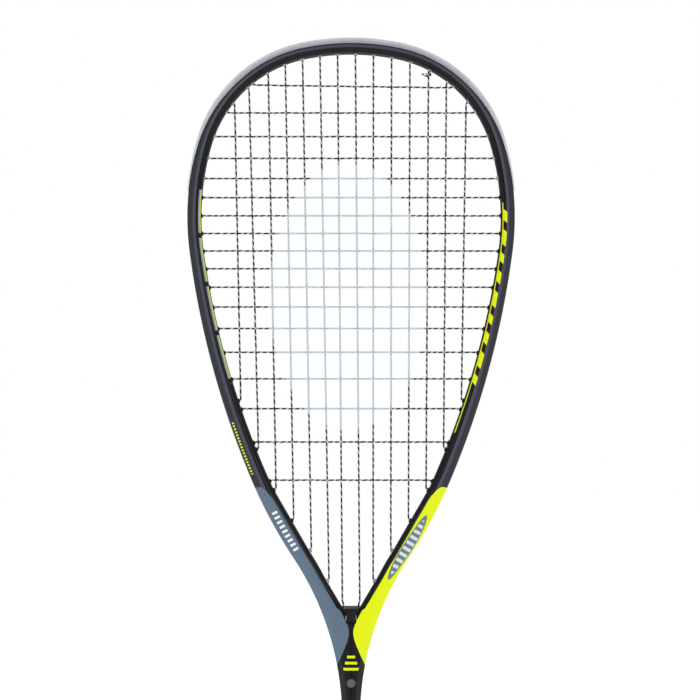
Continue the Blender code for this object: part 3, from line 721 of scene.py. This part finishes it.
def string_material():
    """Silver nylon with a dark strand wound round it, and a plain oval stencil on the bed."""
    n = Nodes("wound_string")
    run, turn, _ = n.track()
    x, _, z = n.split(n.place())
    slip = n.mul(n.sub(n.noise(45.0, 3.0), 0.5), 1.6)
    laid = n.add(n.div(run, WIND_PITCH), slip)
    wind = n.fract(n.add(laid, turn))
    dark = n.band(wind, 0.04, 0.76, 0.03)
    tone = n.noise(260.0, 3.0)
    silver = n.mix(n.step(tone, 0.3, 0.7), (0.50, 0.50, 0.53), (0.66, 0.66, 0.69))
    black = n.mix(n.step(tone, 0.3, 0.7), (0.004, 0.004, 0.006), (0.014, 0.014, 0.018))
    col = n.mix(dark, silver, black)
    ex = n.div(n.sub(x, PRINT_X), PRINT_HALF_X)
    ez = n.div(n.sub(z, PRINT_Z), PRINT_HALF_Z)
    oval = n.squares(ex, ez)
    ragged = n.add(oval, n.mul(n.sub(n.noise(700.0), 0.5), 0.06))
    ink = n.rest(n.step(ragged, 0.97, 1.03))
    worn = n.step(n.noise(520.0, 4.0, 0.7), 0.33, 0.45)
    ink = n.mul(ink, n.lerp(worn, 0.70, 0.93))
    col = n.mix(ink, col, INK)
    rough = n.lerp(ink, n.lerp(dark, 0.30, 0.38), 0.62)
    strand = n.math("SINE", n.mul(wind, 4 * math.pi))
    fine = n.math("SINE", n.mul(n.add(n.div(run, RIB_PITCH), turn), 2 * math.pi))
    relief = n.add(strand, n.mul(fine, 0.4))
    return n.finish(col, rough, n.bump(relief, 0.00006, 0.8), Specular_IOR_Level=0.4)


def bumper_material():
    """Translucent grey moulding, scuffed on the crown."""
    n = Nodes("translucent_grey")
    run, turn, _ = n.track()
    cloud = n.noise(60.0, 5.0, 0.6)
    fine = n.noise(1400.0, 3.0, 0.7)
    scuff_v = n.join(n.mul(run, 90.0), n.mul(turn, 40.0))
    scuff = n.step(n.noise(6.0, 6.0, 0.75, scuff_v), 0.60, 0.72)
    col = n.mix(n.step(cloud, 0.3, 0.7), (0.60, 0.60, 0.63), (0.68, 0.68, 0.71))
    _, y, _ = n.split(n.place())
    thin = n.step(n.size(y), 0.0058, 0.0090)
    col = n.mix(thin, col, (0.36, 0.36, 0.41))
    col = n.mix(n.mul(scuff, 0.25), col, (0.70, 0.70, 0.71))
    rough = n.add(n.lerp(cloud, 0.28, 0.42), n.mul(scuff, 0.25))
    relief = n.add(n.mul(fine, 0.5), scuff)
    return n.finish(col, rough, n.bump(relief, 0.00003, 0.4), Transmission_Weight=0.18,
                    Subsurface_Weight=0.15, Subsurface_Scale=0.004, Specular_IOR_Level=0.45)


def moulded(name, dark, light, rough, grain=0.00006):
    """Injection-moulded plastic or rubber with a fine spark texture."""
    n = Nodes(name)
    cloud = n.noise(90.0, 4.0)
    fine = n.noise(2200.0, 3.0, 0.7)
    col = n.mix(n.step(cloud, 0.3, 0.7), dark, light)
    r = n.add(rough - 0.06, n.mul(cloud, 0.12))
    return n.finish(col, r, n.bump(fine, grain, 0.6), Specular_IOR_Level=0.2)


def grip_material():
    """Black polyurethane with pin holes in rows along the wrap, painted shade in the holes and along the
    strip's edges, and a fine leather grain.
    """
    n = Nodes("perforated_grip")
    run, across, _ = n.track()
    u = n.div(run, PIN_PITCH)
    v = n.mul(across, PIN_ROWS)
    shifted = n.add(u, n.mul(n.math("FLOOR", v), 0.5))
    du = n.sub(n.fract(shifted), 0.5)
    dv = n.mul(n.sub(n.fract(v), 0.5), 0.8)
    hole = n.math("SQRT", n.squares(du, dv))
    row = n.band(across, 0.17, 0.84, 0.01)
    pit = n.both(n.rest(n.step(hole, 0.09, 0.14)), row)
    grain = n.cells(2300.0)
    cloud = n.noise(70.0, 5.0, 0.6)
    seam = n.rest(n.band(across, 0.03, 0.97, 0.02))
    col = n.mix(n.step(cloud, 0.35, 0.7), (0.012, 0.012, 0.014), (0.030, 0.030, 0.033))
    col = n.mix(n.mul(n.step(cloud, 0.62, 0.75), 0.35), col, (0.060, 0.060, 0.062))
    # painted shade: the pin holes and the strip's edges, where one turn steps over the next, are
    # darkened
    col = n.mix(n.either(pit, seam), col, (0.004, 0.004, 0.005))
    rough = n.add(0.55, n.mul(n.sub(cloud, 0.5), 0.3))
    relief = n.sub(n.mul(grain, 0.35), n.mul(pit, 1.6))
    return n.finish(col, rough, n.bump(relief, 0.00022, 0.8), Specular_IOR_Level=0.38)


def foam_material():
    n = Nodes("core_foam_skin")
    bubbles = n.cells(900.0)
    cloud = n.noise(60.0, 4.0)
    col = n.mix(n.step(cloud, 0.3, 0.7), (0.26, 0.24, 0.21), (0.40, 0.37, 0.33))
    return n.finish(col, n.lerp(cloud, 0.7, 0.9), n.bump(bubbles, 0.0002, 0.6))


def tape_material():
    """Glossy vinyl tape with faint stretch lines along its length."""
    n = Nodes("vinyl_tape")
    x, y, z = n.split(n.place())
    lines = n.noise(1.0, 3.0, 0.6, n.join(n.mul(x, 60.0), n.mul(y, 60.0), n.mul(z, 1500.0)))
    cloud = n.noise(120.0, 3.0)
    col = n.mix(n.step(cloud, 0.3, 0.7), (0.018, 0.018, 0.021), (0.030, 0.030, 0.034))
    return n.finish(col, n.lerp(cloud, 0.26, 0.40), n.bump(lines, 0.0001, 0.5), Specular_IOR_Level=0.5)


def floor_material():
    n = Nodes("pale_floor")
    cloud = n.noise(1.3, 3.0)
    col = n.mix(cloud, (0.955, 0.955, 0.955), (0.985, 0.985, 0.985))
    return n.finish(col, 0.85, n.bump(n.noise(260.0, 2.0), 0.0002, 0.15), Specular_IOR_Level=0.1,
                    Emission_Color=(1.0, 1.0, 1.0), Emission_Strength=0.38)


LACQUER = lacquer()
STRING = string_material()
BUMPER = bumper_material()
BLACK = moulded("black_moulding", (0.003, 0.003, 0.0035), (0.007, 0.007, 0.008), 0.5)
NYLON = moulded("pale_nylon", (0.55, 0.55, 0.53), (0.68, 0.68, 0.66), 0.36)
RUBBER = moulded("black_rubber", (0.010, 0.010, 0.010), (0.022, 0.022, 0.023), 0.66, 0.0001)
GRIP = grip_material()
FOAM = foam_material()
TAPE = tape_material()
FLOOR = floor_material()


# ================================================================ frame
def section(s):
    """Half section, front side: corner points (u, v), corner radii and the zone of each corner."""
    w, d = width(s), half_depth(s)
    k = d / TUBE_HALF_DEPTH
    c = CHANNEL_DEPTH * (1 - smooth((s - CHANNEL_END) / CHANNEL_FADE))
    b = min(SHAFT_BEVEL, w * SHAFT_BEVEL_SHARE)
    f = smooth((s - POCKET_S + SHAPE_BLEND) / SHAPE_BLEND)
    head = np.array([(-w * RIDGE_SHARE, RIDGE_V * k), (-w * CREST_SHARE, d),
                     (-w + INNER_EDGE, INNER_V * k), (-w, WALL_V * k)])
    shaft = np.array([(-b, SHAFT_RIDGE_V * k), (-(b + w) * 0.5, d), (-w + SHAFT_EDGE, d), (-w, d)])
    pts = [(-c, 0.0), (-c, CHANNEL_FLOOR * k), (0.0, CHANNEL_LIP * k),
           (BEVEL_EDGE[0], BEVEL_EDGE[1] * k), *map(tuple, head + (shaft - head) * f), (-w, 0.0)]
    radii = [0, 0.3, 0.5, 0.9, 1.6, 1.6, 1.5 - 1.4 * f, 1.0 - f, 0]
    return pts, radii


SPLITS = [1, 2, 2, 6, 8, 8, 3, 6]       # faces along each side of the half section
PAINT_FOOT_Z, PAINT_FOOT_X, PAINT_SOFT = 296.5, 1.4, 6.0     # where the painted arms come closest
PAINT_RISE_UP, PAINT_RISE_DOWN = 0.6, 0.47
PAINT_RIM = 2.8                                             # black rim along the inner wall


def half_ring(s):
    """Fine half section as rows of (u, v, zone)."""
    pts, radii = section(s)
    corners = []
    for i, p in enumerate(pts):
        if i in (0, len(pts) - 1):
            corners.append([(*p, float(i))])
            continue
        a, b, p = np.array(pts[i - 1]), np.array(pts[i + 1]), np.array(p)
        la, lb = max(1e-6, np.linalg.norm(a - p)), max(1e-6, np.linalg.norm(b - p))
        cut = min(radii[i], NEAR_HALF * la, NEAR_HALF * lb)
        pa, pb = p + (a - p) / la * cut, p + (b - p) / lb * cut
        arc = []
        for t in (0.0, 0.25, 0.5, 0.75, 1.0):
            q = (1 - t) ** 2 * pa + 2 * t * (1 - t) * p + t * t * pb
            arc.append((q[0], q[1], i - cut / la * (1 - t) + cut / lb * t))
        corners.append(arc)
    out = []
    for i, arc in enumerate(corners):
        out += arc
        if i < len(corners) - 1:
            a, b = np.array(arc[-1]), np.array(corners[i + 1][0])
            out += [tuple(a + (b - a) * k / SPLITS[i]) for k in range(1, SPLITS[i])]
    return np.array(out)


def paint_foot(z):
    """x of the paint's inner edge near the throat: two slopes that meet in a soft bend."""
    rise = PAINT_RISE_UP if z > PAINT_FOOT_Z else PAINT_RISE_DOWN
    return PAINT_FOOT_X + rise * (math.hypot(z - PAINT_FOOT_Z, PAINT_SOFT) - PAINT_SOFT)


def paint_edge(s, rows):
    """Millimetres inside the painted part of the arm; below zero outside it."""
    w = width(s)
    out = []
    for u, v, zone in rows:
        x, _, z = place(s, u, v)
        from_wall = (u + w) - PAINT_RIM if z > INSERT_TOP_Z else 99.0
        top = s - PANEL_TOP - 15.0 * (max(0.0, min(zone, 6.0) - 3.1) / 2.5) ** 2.2
        out.append(min(from_wall, x - paint_foot(z), top, (zone - 2.0) * 1.5))
    return out


def build_frame():
    rows = spread(0.0, POCKET_S, 1.5)
    rows += spread(POCKET_S + 0.02, SHAFT_START, 1.5) + spread(SHAFT_START + 4, TOTAL, 14.0)
    half = [half_ring(s) for s in rows]
    nh = len(half[0])
    n = 2 * nh - 2
    pos, track, zone, panel = [], [], [], []
    for s, h in zip(rows, half):
        paint = paint_edge(s, h)
        ring = [(u, -v, q, 1.0, p) for (u, v, q), p in zip(h, paint)]
        ring += [(u, v, q, -1.0, p) for (u, v, q), p in list(zip(h, paint))[-2:0:-1]]
        pos.append([place(s, r[0], r[1]) for r in ring])
        track.append([(s * MM, -r[0] * MM) for r in ring])
        zone.append([(r[2], r[3]) for r in ring])
        panel.append([r[4] for r in ring])
    pos, track, zone = np.array(pos), np.array(track), np.array(zone)
    wall = zone[:, :, 0] > 6.999
    faces, m = [], len(rows)
    for i in range(m - 1):
        in_shaft = rows[i] > POCKET_S + 0.01
        for j in range(n):
            k = (j + 1) % n
            if in_shaft and wall[i, j] and wall[i, k]:
                continue
            faces.append((i * n + j, i * n + k, (i + 1) * n + k, (i + 1) * n + j))
    faces.append(tuple((m - 1) * n + j for j in range(n) if zone[-1, j, 0] < 7.001))
    count = m * n
    right = pos.reshape(-1, 3)
    verts = np.vstack([right, right * (-1, 1, 1)]) * MM
    faces += [tuple(q + count for q in reversed(f)) for f in faces]
    me = bpy.data.meshes.new("frame_tube")
    me.from_pydata(verts.tolist(), [], faces)
    track = track.reshape(-1, 2)
    track = np.vstack([track, track * (-1, 1)])
    zone = np.vstack([zone.reshape(-1, 2)] * 2)
    loops = np.zeros(len(me.loops), np.int32)
    me.loops.foreach_get("vertex_index", loops)
    for name, data in (("Track", track), ("Zone", zone)):
        me.uv_layers.new(name=name).data.foreach_set("uv", data[loops].astype(np.float32).ravel())
    attr = me.attributes.new("panel", "FLOAT", "POINT")
    attr.data.foreach_set("value", np.array(panel * 2, np.float32).ravel())
    weld(me)
    ob = linked("frame_tube", me)
    me.materials.append(LACQUER)
    me.shade_smooth()
    me.set_sharp_from_angle(angle=math.radians(50))
    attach(ob, "root")
    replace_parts(ob, "frame")


def weld(me, dist=2e-6):
    bm = bmesh.new()
    bm.from_mesh(me)
    bmesh.ops.remove_doubles(bm, verts=bm.verts, dist=dist)
    bmesh.ops.dissolve_degenerate(bm, dist=1e-7, edges=bm.edges)
    bmesh.ops.recalc_face_normals(bm, faces=bm.faces)
    bm.to_mesh(me)
    bm.free()


# ================================================================ guards and grommets
def loft_track(build, stations, profile, radius, n):
    """A closed section swept along the signed stations, with capped ends."""
    rings, us = [], []
    for s in stations:
        side = 1 if s >= 0 else -1
        prof = rounded(profile(abs(s)), radius, n)
        rings.append([place(abs(s), u, v, side) for u, v in prof])
        us.append(s * MM)
    build.grid(rings, us, ends=True)


def bumper_profile(s):
    f = 1 - smooth((s - BUMPER_END + BUMPER_FADE_LEAD) / BUMPER_FADE_SPAN)
    top = BUMPER_SKIN + (BUMPER_PROUD - BUMPER_SKIN) * f
    wing = BUMPER_WING_LOW + BUMPER_WING_SPAN * f
    (eu, ev), (bu, bv) = BEVEL_EDGE, BEVEL_RUN
    n = Vector((bv, -bu)).normalized()
    inner = (eu + bu * wing + n.x * SEAT, ev + bv * wing + n.y * SEAT)
    thick = BUMPER_THICK_LOW + BUMPER_THICK_SPAN * f
    tip = (inner[0] + n.x * thick, inner[1] + n.y * thick)
    floor = -CHANNEL_DEPTH + GAP
    half = [(floor + STRIP_SKIN, BUMPER_FOOT_V), (top, STRIP_HALF), (top, BUMPER_LIP_V), tip, inner,
            (GAP, BUMPER_SEAT_V), (GAP, CHANNEL_LIP - RAIL_CLEAR),
            (floor, CHANNEL_FLOOR - RAIL_FLOOR_CLEAR)]
    return half + [(u, -v) for u, v in reversed(half)]


def strip_profile(_):
    floor = -CHANNEL_DEPTH + GAP
    top, w = floor + STRIP_SKIN, STRIP_HALF
    return [(floor, -w), (floor, w), (top, w), (top, -w)]


def add_barrel(build, s, proud, flare, sides=20):
    """A grommet barrel through the tube: a turned sleeve with a rolled tip inside the head."""
    a = np.array(spot(s, -CHANNEL_DEPTH + GAP + 0.3))
    d = np.array(spot(s, -width(abs(s)))) - a
    length = np.linalg.norm(d) + proud
    d /= np.linalg.norm(d)
    e1 = np.array([0.0, 1.0, 0.0])
    e2 = np.cross(d, e1)
    r, b = BARREL_R, BARREL_BORE
    turn = [(0.0, r), (length - proud - 0.2, r), (length - proud, r + 0.1), (length - 0.6, r + 0.02),
            (length - 0.3, r + flare * 0.6), (length - 0.08, r + flare), (length, r + flare - 0.1),
            (length - 0.02, b + 0.15), (length - 0.3, b), (length * 0.5, b), (-0.2, b), (0.0, r)]
    ang = 2 * np.pi * np.arange(sides) / sides
    rings = [[a + d * t + q * (math.cos(x) * e1 + math.sin(x) * e2) for x in ang] for t, q in turn]
    build.grid(rings, np.linspace(0, 0.02, len(turn)))


def build_guards():
    side_end, middle = at_height(SIDE_END_Z), MAINS // 2
    singles = {"right": [HOLES["arm", middle + 1], HOLES["arm", middle + 2]],
               "left": [HOLES["arm", middle - 2], HOLES["arm", middle - 3]]}
    stripped = [s for s in HOLES.values() if s not in singles["right"] + singles["left"]]

    b = Build()
    loft_track(b, spread(-BUMPER_END, BUMPER_END, 2.5), bumper_profile, 0.3, n=3)
    for s in stripped:
        if abs(s) < BUMPER_END:
            add_barrel(b, s, BARREL_PROUD, 0.12)
    ob = b.make("bumper_guard", [BUMPER])
    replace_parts(ob, "head_bumper")

    for label, side in (("right", 1), ("left", -1)):
        mine = [abs(s) for s in stripped if s * side > 0]
        for zone, lo, hi in (("side", BUMPER_END + 1, side_end - 0.5),
                             ("throat", side_end + 0.5, max(mine) + STRIP_TAIL)):
            b = Build()
            loft_track(b, [side * s for s in spread(lo, hi, 3.0)], strip_profile, 0.2, n=2)
            for s in mine:
                if lo < s < hi:
                    add_barrel(b, side * s, BARREL_PROUD, 0.12)
            ob = b.make(f"grommets_{zone}_{label}", [BLACK])
            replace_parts(ob, f"{zone}_strip_{label}")
        for k, s in enumerate(singles[label]):
            b = Build()
            loft_track(b, spread(s - PAD_HALF, s + PAD_HALF, 1.0), strip_profile, 0.2, n=2)
            add_barrel(b, s, BARREL_PROUD + 0.6, 0.3)
            ob = b.make(f"single_grommet_{label}_{k + 1}", [NYLON])
            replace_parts(ob, f"throat_grommet_{label}_{k + 1}")


def build_insert():
    """Wedge in the pocket, with a dished top."""
    b = Build()
    d = INSERT_HALF_DEPTH
    narrow, broad = POCKET_HALF - 3 * SEAT, THROAT_HALF - 3 * SEAT

    def ring(z, half, shrink=0.0, dish=0.0):
        outline = rounded([(-half, -d), (half, -d), (half, d), (-half, d)], 1.3, 5)
        k, m = 1 - shrink / half, 1 - shrink / d
        return [(x * k, y * m, z + dish * ((x / half) ** 2 - 0.55)) for x, y in outline]

    lo, bend, hi = POCKET_FLOOR_Z + SEAT, POCKET_TOP_Z, INSERT_TOP_Z
    rings = [ring(lo, narrow, 0.3), ring(lo + 0.2, narrow), ring(bend, narrow)]
    for k in (0.35, 0.7, 0.9):
        rings.append(ring(bend + (hi - bend) * k, narrow + (broad - narrow) * k))
    rings += [ring(hi - 0.25, broad, 0.15, 0.5), ring(hi - 0.1, broad, 0.7, 0.6),
              ring(hi - 0.1, broad, 2.4, 0.5)]
    b.grid(rings, np.linspace(0, 0.02, len(rings)), ends=True)
    ob = b.make("throat_saddle", [BLACK])
    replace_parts(ob, "throat_insert")


# ================================================================ strings
def build_strings():
    for name, node, path in (("strings_main", "main_string", main_path()),
                             ("strings_cross", "cross_string", cross_path())):
        b = Build()
        add_tube(b, eased(soften(path)), STRING_R, 10)
        ob = b.make(name, [STRING], angle=75)
        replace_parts(ob, node)


KNOT_DROP, KNOT_CLEAR, KNOT_TURNS, KNOT_STEPS = 0.6, 0.35, 1.6, 56
KNOT_RISE, KNOT_START, KNOT_R, TAIL_STEPS = 1.35 / 35.2, 0.4, 0.55, 8


def build_knot():
    """Two turns round a main near the head and the cut tail, which hooks up at its end."""
    a, b = main_line(MAINS - 3)
    d = np.array((b - a).normalized())
    centre = np.array(a) + d * KNOT_DROP
    r = STRING_R * 2 + KNOT_CLEAR
    side = np.array([1.0, 0.0, 0.0])
    pts = []
    for k in range(KNOT_STEPS + 1):
        t = 2 * math.pi * KNOT_TURNS * k / KNOT_STEPS + KNOT_START
        pts.append(centre + d * (KNOT_RISE * k) + side * (r * math.cos(t))
                   + np.array([0, r * math.sin(t), 0]))
    end = pts[-1]
    for k in range(1, TAIL_STEPS + 1):
        t = k / TAIL_STEPS
        pts.append(end + np.array([-3.4 * t, -0.5 * t, 0.3 * t + 1.5 * t ** 4]))
    build = Build()
    add_tube(build, pts, KNOT_R, 12)
    ob = build.make("knot_tail", [STRING], angle=75)
    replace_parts(ob, "tie_off_knot")


# ================================================================ handle
def octagon(hx, hy, c):
    return [(hx, -hy + c), (hx, hy - c), (hx - c, hy), (-hx + c, hy),
            (-hx, hy - c), (-hx, -hy + c), (-hx + c, -hy), (hx - c, -hy)]


def evenly(poly, count):
    """The same outline with count points at equal steps along it, from its first point."""
    pts = np.array(poly + [poly[0]], float)
    run = np.concatenate([[0], np.cumsum(np.hypot(*np.diff(pts, axis=0).T))])
    t = np.linspace(0, run[-1], count + 1)[:-1]
    return np.stack([np.interp(t, run, pts[:, 0]), np.interp(t, run, pts[:, 1])], 1)


def ring_stack(build, levels, soft, closed=False, count=96):
    """levels: (half x, half y, chamfer, z). Skins them in order; closed joins last to first,
    and otherwise both ends get a cap."""
    rings = [[(x, y, z) for x, y in evenly(rounded(octagon(hx, hy, c), soft, 5), count)]
             for hx, hy, c, z in levels]
    if closed:
        rings.append(rings[0])
    build.grid(rings, [ring[0][2] * MM for ring in rings], ends=not closed)


GRIP_FLARE = 1.0 + 2 * GAP          # over the butt cap's sleeve
FLARE_CLEAR, FLARE_SPAN = 3.0, 20.0
GRIP_WRAPS, GRIP_MEAN_R, WRAP_DIP, WRAP_FLAT, WRAP_CROWN = 9, 14.2, 0.58, 0.16, 0.14


def grip_offset(z):
    """Half width of the grip."""
    flare = GRIP_FLARE * (1 - smooth((z - CAP_SLEEVE_TOP - FLARE_CLEAR) / FLARE_SPAN))
    return CORE_X + GAP + GRIP_THICK + flare


def build_grip():
    """The strip is wound upwards: each turn steps down over the edge of the turn below."""
    start, count = CAP_FLANGE + GAP, 120
    pitch = (GRIP_TOP_Z - start) / GRIP_WRAPS
    b = Build()
    rows = spread(start, GRIP_TOP_Z, 0.7)
    rings = []
    for z in rows:
        g = grip_offset(z)
        base = evenly(rounded(octagon(g, g - CORE_X + CORE_Y, CORE_CHAMFER + 0.9), 2.4, 5), count)
        ring = []
        for k, (x, y) in enumerate(base):
            turn = k / count
            raw = (z - start) / pitch - turn
            f = raw - math.floor(raw)
            edge = WRAP_DIP * (math.exp(-f / 0.035) + 0.35 * math.exp(-(1 - f) / 0.03))
            dip = edge + WRAP_FLAT - WRAP_CROWN * (1 - (2 * f - 1) ** 2)
            r = math.hypot(x, y)
            ring.append((x - x / r * dip, y - y / r * dip, z))
        rings.append(ring)
    b.grid(rings, [z * MM for z in rows])
    uv = b.uvs[-1].reshape(-1, 4, 2)
    # along the strip in metres, and across it from 0 to 1
    girth = 2 * math.pi * GRIP_MEAN_R
    z_mm, turn = uv[:, :, 0] / MM, uv[:, :, 1]
    raw = (z_mm - start) / pitch - turn
    low = np.floor(raw.mean(1) + 1e-6)[:, None]
    uv[:, :, 0], uv[:, :, 1] = (turn + low) * girth * MM, np.clip(raw - low, 0, 1)
    b.uvs[-1] = uv.reshape(-1, 2)
    g, flare = CORE_X + GAP, GRIP_FLARE
    inner = [(grip_offset(GRIP_TOP_Z) - 0.9, GRIP_TOP_Z), (g, GRIP_TOP_Z - 0.1),
             (g, CAP_SLEEVE_TOP + 1), (g + flare, CAP_SLEEVE_TOP + 0.4), (g + flare, start + 0.1)]
    lining = [rings[-1]]
    for q, z in inner:
        lining.append([(x, y, z) for x, y in
                       evenly(rounded(octagon(q, q - CORE_X + CORE_Y, CORE_CHAMFER), 2.0, 5), count)])
    lining.append(rings[0])
    b.grid(lining, np.linspace(0, 0.01, len(lining)), vs=np.full(count + 1, 0.5))
    ob = b.make("wrapped_grip", [GRIP], angle=60)
    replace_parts(ob, "base_grip")


# how far the tape stands off the grip, and at what z; the step in the middle is its overlap
TAPE_LEVELS = [(0.0, 183.0), (0.4, 183.0), (0.5, 183.3), (0.55, 190.6), (0.35, 190.9), (0.5, 191.2),
               (0.5, 198.7), (0.4, 199.0), (0.0, 199.0)]
COLLAR_RIBS, COLLAR_FOOT, COLLAR_TIP = 5, (14.6, 12.9, 5.7), (9.4, 11.2, 3.4)
COLLAR_FOOT_Z, COLLAR_RISE = 4.3, 12.4      # above the grip's top, and from foot to tip
CAP_LEVELS = [(4.0, 3.2, 1.4, 0.9), (9.6, 7.6, 3.6, 0.9), (10.2, 8.2, 3.9, 0.55), (10.6, 8.6, 4.1, 0.1),
              (11.4, 9.4, 4.4, 0.0), (15.2, 13.2, 6.1, 0.0), (15.9, 13.9, 6.3, 0.25),
              (16.4, 14.4, 6.6, 0.9), (16.6, 14.6, 6.6, 2.2), (16.6, 14.6, 6.6, 3.4),
              (16.3, 14.3, 6.5, 4.2), (15.9, 13.9, 6.4, 4.5)]      # half x, half y, chamfer, z


def build_handle():
    build_grip()
    c = CORE_CHAMFER
    g = CORE_X + GAP * 2 + GRIP_THICK
    b = Build()
    ring_stack(b, [(g + d, g + d - CORE_X + CORE_Y, c + (1.1 if d else 0.9), z) for d, z in TAPE_LEVELS],
               2.2, closed=True)
    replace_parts(b.make("vinyl_band", [TAPE]), "finishing_tape")

    ix, iy, top = SHAFT_HALF + GAP, SHAFT_HALF_DEPTH + GAP, GRIP_TOP_Z
    levels = [(ix, iy, 1.5, top + 0.4), (15.0, 13.0, 5.8, top + 0.4), (15.25, 13.25, 5.9, top + 0.9),
              (15.2, 13.2, 5.9, top + 3.6), (*COLLAR_FOOT, top + COLLAR_FOOT_Z)]
    for k in range(COLLAR_RIBS):
        f = (k + 0.5) / COLLAR_RIBS
        hx, hy, ch = (a + (b - a) * f for a, b in zip(COLLAR_FOOT, COLLAR_TIP))
        z = top + COLLAR_FOOT_Z + COLLAR_RISE * f
        levels += [(hx + 0.1, hy + 0.1, ch, z - 0.9), (hx + 0.22, hy + 0.2, ch, z),
                   (hx - 0.18, hy - 0.1, ch, z + 0.9)]
    levels += [(9.0, 10.9, 3.2, top + 17.4), (8.5, 10.4, 3.0, top + 17.9), (ix, iy, 1.5, top + 17.9)]
    b = Build()
    ring_stack(b, levels, 1.4, closed=True)
    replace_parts(b.make("rubber_collar", [RUBBER]), "grip_collar")

    b = Build()
    cx, cy = CORE_X + GAP, CORE_Y + GAP
    levels = CAP_LEVELS + [(cx + 1, cy + 1, c + 0.5, 4.5), (cx + 1, cy + 1, c + 0.5, CAP_SLEEVE_TOP),
                           (cx, cy, c, CAP_SLEEVE_TOP), (cx, cy, c, CAP_FLANGE - 1.5 - GAP)]
    ring_stack(b, levels, 1.8)
    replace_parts(b.make("moulded_butt_cap", [BLACK]), "butt_cap")
    for name in ("handle_core_front", "handle_core_back"):
        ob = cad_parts[name]
        for k in range(len(ob.material_slots)):
            ob.material_slots[k].material = FOAM


# ================================================================ stage, light, camera
ROOM_SIDE, ROOM_FRONT = 0.80, 0.25      # strength of the room beside the racket, and before it


def build_stage():
    me = bpy.data.meshes.new("studio_floor")
    n, half = 24, 6.0
    verts = [(-half + 2 * half * i / n, -half + 2 * half * j / n, 0.0)
             for i in range(n + 1) for j in range(n + 1)]
    faces = [(i * (n + 1) + j, (i + 1) * (n + 1) + j, (i + 1) * (n + 1) + j + 1, i * (n + 1) + j + 1)
             for i in range(n) for j in range(n)]
    me.from_pydata(verts, [], faces)
    ob = linked("studio_floor", me)
    me.materials.append(FLOOR)


def area(name, loc, target, size, power):
    light = bpy.data.lights.new(name, "AREA")
    light.shape, light.size, light.size_y = "RECTANGLE", size[0], size[1]
    light.energy = power
    ob = linked(name, light)
    ob.location = loc
    ob.rotation_euler = (Vector(target) - Vector(loc)).to_track_quat("-Z", "Y").to_euler()


def build_light():
    """A white backdrop for the camera, and a room that is bright at the sides and above."""
    world = bpy.data.worlds.new("white_room")
    bpy.context.scene.world = world
    world.use_nodes = True
    tree = world.node_tree
    room = tree.nodes["Background"]
    backdrop = tree.nodes.new("ShaderNodeBackground")
    backdrop.inputs["Color"].default_value = (1.0, 1.0, 1.0, 1.0)
    seen = tree.nodes.new("ShaderNodeLightPath")
    pick = tree.nodes.new("ShaderNodeMixShader")
    coord = tree.nodes.new("ShaderNodeTexCoord")
    parts = tree.nodes.new("ShaderNodeSeparateXYZ")
    tree.links.new(coord.outputs["Generated"], parts.inputs[0])
    depth = tree.nodes.new("ShaderNodeMath")
    depth.operation = "ABSOLUTE"
    tree.links.new(parts.outputs["Y"], depth.inputs[0])
    level = tree.nodes.new("ShaderNodeMapRange")
    for socket, value in zip(list(level.inputs)[1:5], (0.35, 0.95, ROOM_SIDE, ROOM_FRONT)):
        socket.default_value = value
    tree.links.new(depth.outputs[0], level.inputs[0])
    tree.links.new(level.outputs[0], room.inputs["Strength"])
    room.inputs["Color"].default_value = (1.0, 1.0, 1.0, 1.0)
    tree.links.new(seen.outputs["Is Camera Ray"], pick.inputs[0])
    tree.links.new(room.outputs[0], pick.inputs[1])
    tree.links.new(backdrop.outputs[0], pick.inputs[2])
    tree.links.new(pick.outputs[0], tree.nodes["World Output"].inputs["Surface"])
    area("key_softbox", (-1.3, -1.7, 1.7), (0, 0, 0.45), (0.9, 1.3), 18.0)
    area("fill_softbox", (1.5, -1.5, 1.2), (0, 0, 0.45), (0.8, 1.2), 10.0)
    area("rear_softbox", (0.5, 1.7, 1.9), (0, 0, 0.4), (1.2, 0.9), 14.0)
    scene = bpy.context.scene
    scene.view_settings.view_transform = "Standard"
    scene.view_settings.look = "None"
    scene.view_settings.exposure = 0.0


def build_camera():
    """Face on and level with the middle of the picture, as far away as the inner walls show."""
    cam = bpy.data.cameras.new("camera")
    distance, across = 1.55, 0.4602
    cam.sensor_width = 36.0
    cam.lens = 36.0 * distance / across
    ob = linked("camera", cam)
    ob.location = (-0.0007, -distance, 0.4812)
    ob.rotation_euler = (math.pi / 2, 0.0, 0.0)
    cam.clip_start, cam.clip_end = 0.05, 60.0
    bpy.context.scene.camera = ob


build_frame()
build_guards()
build_insert()
build_strings()
build_knot()
build_handle()
build_stage()
build_light()
build_camera()
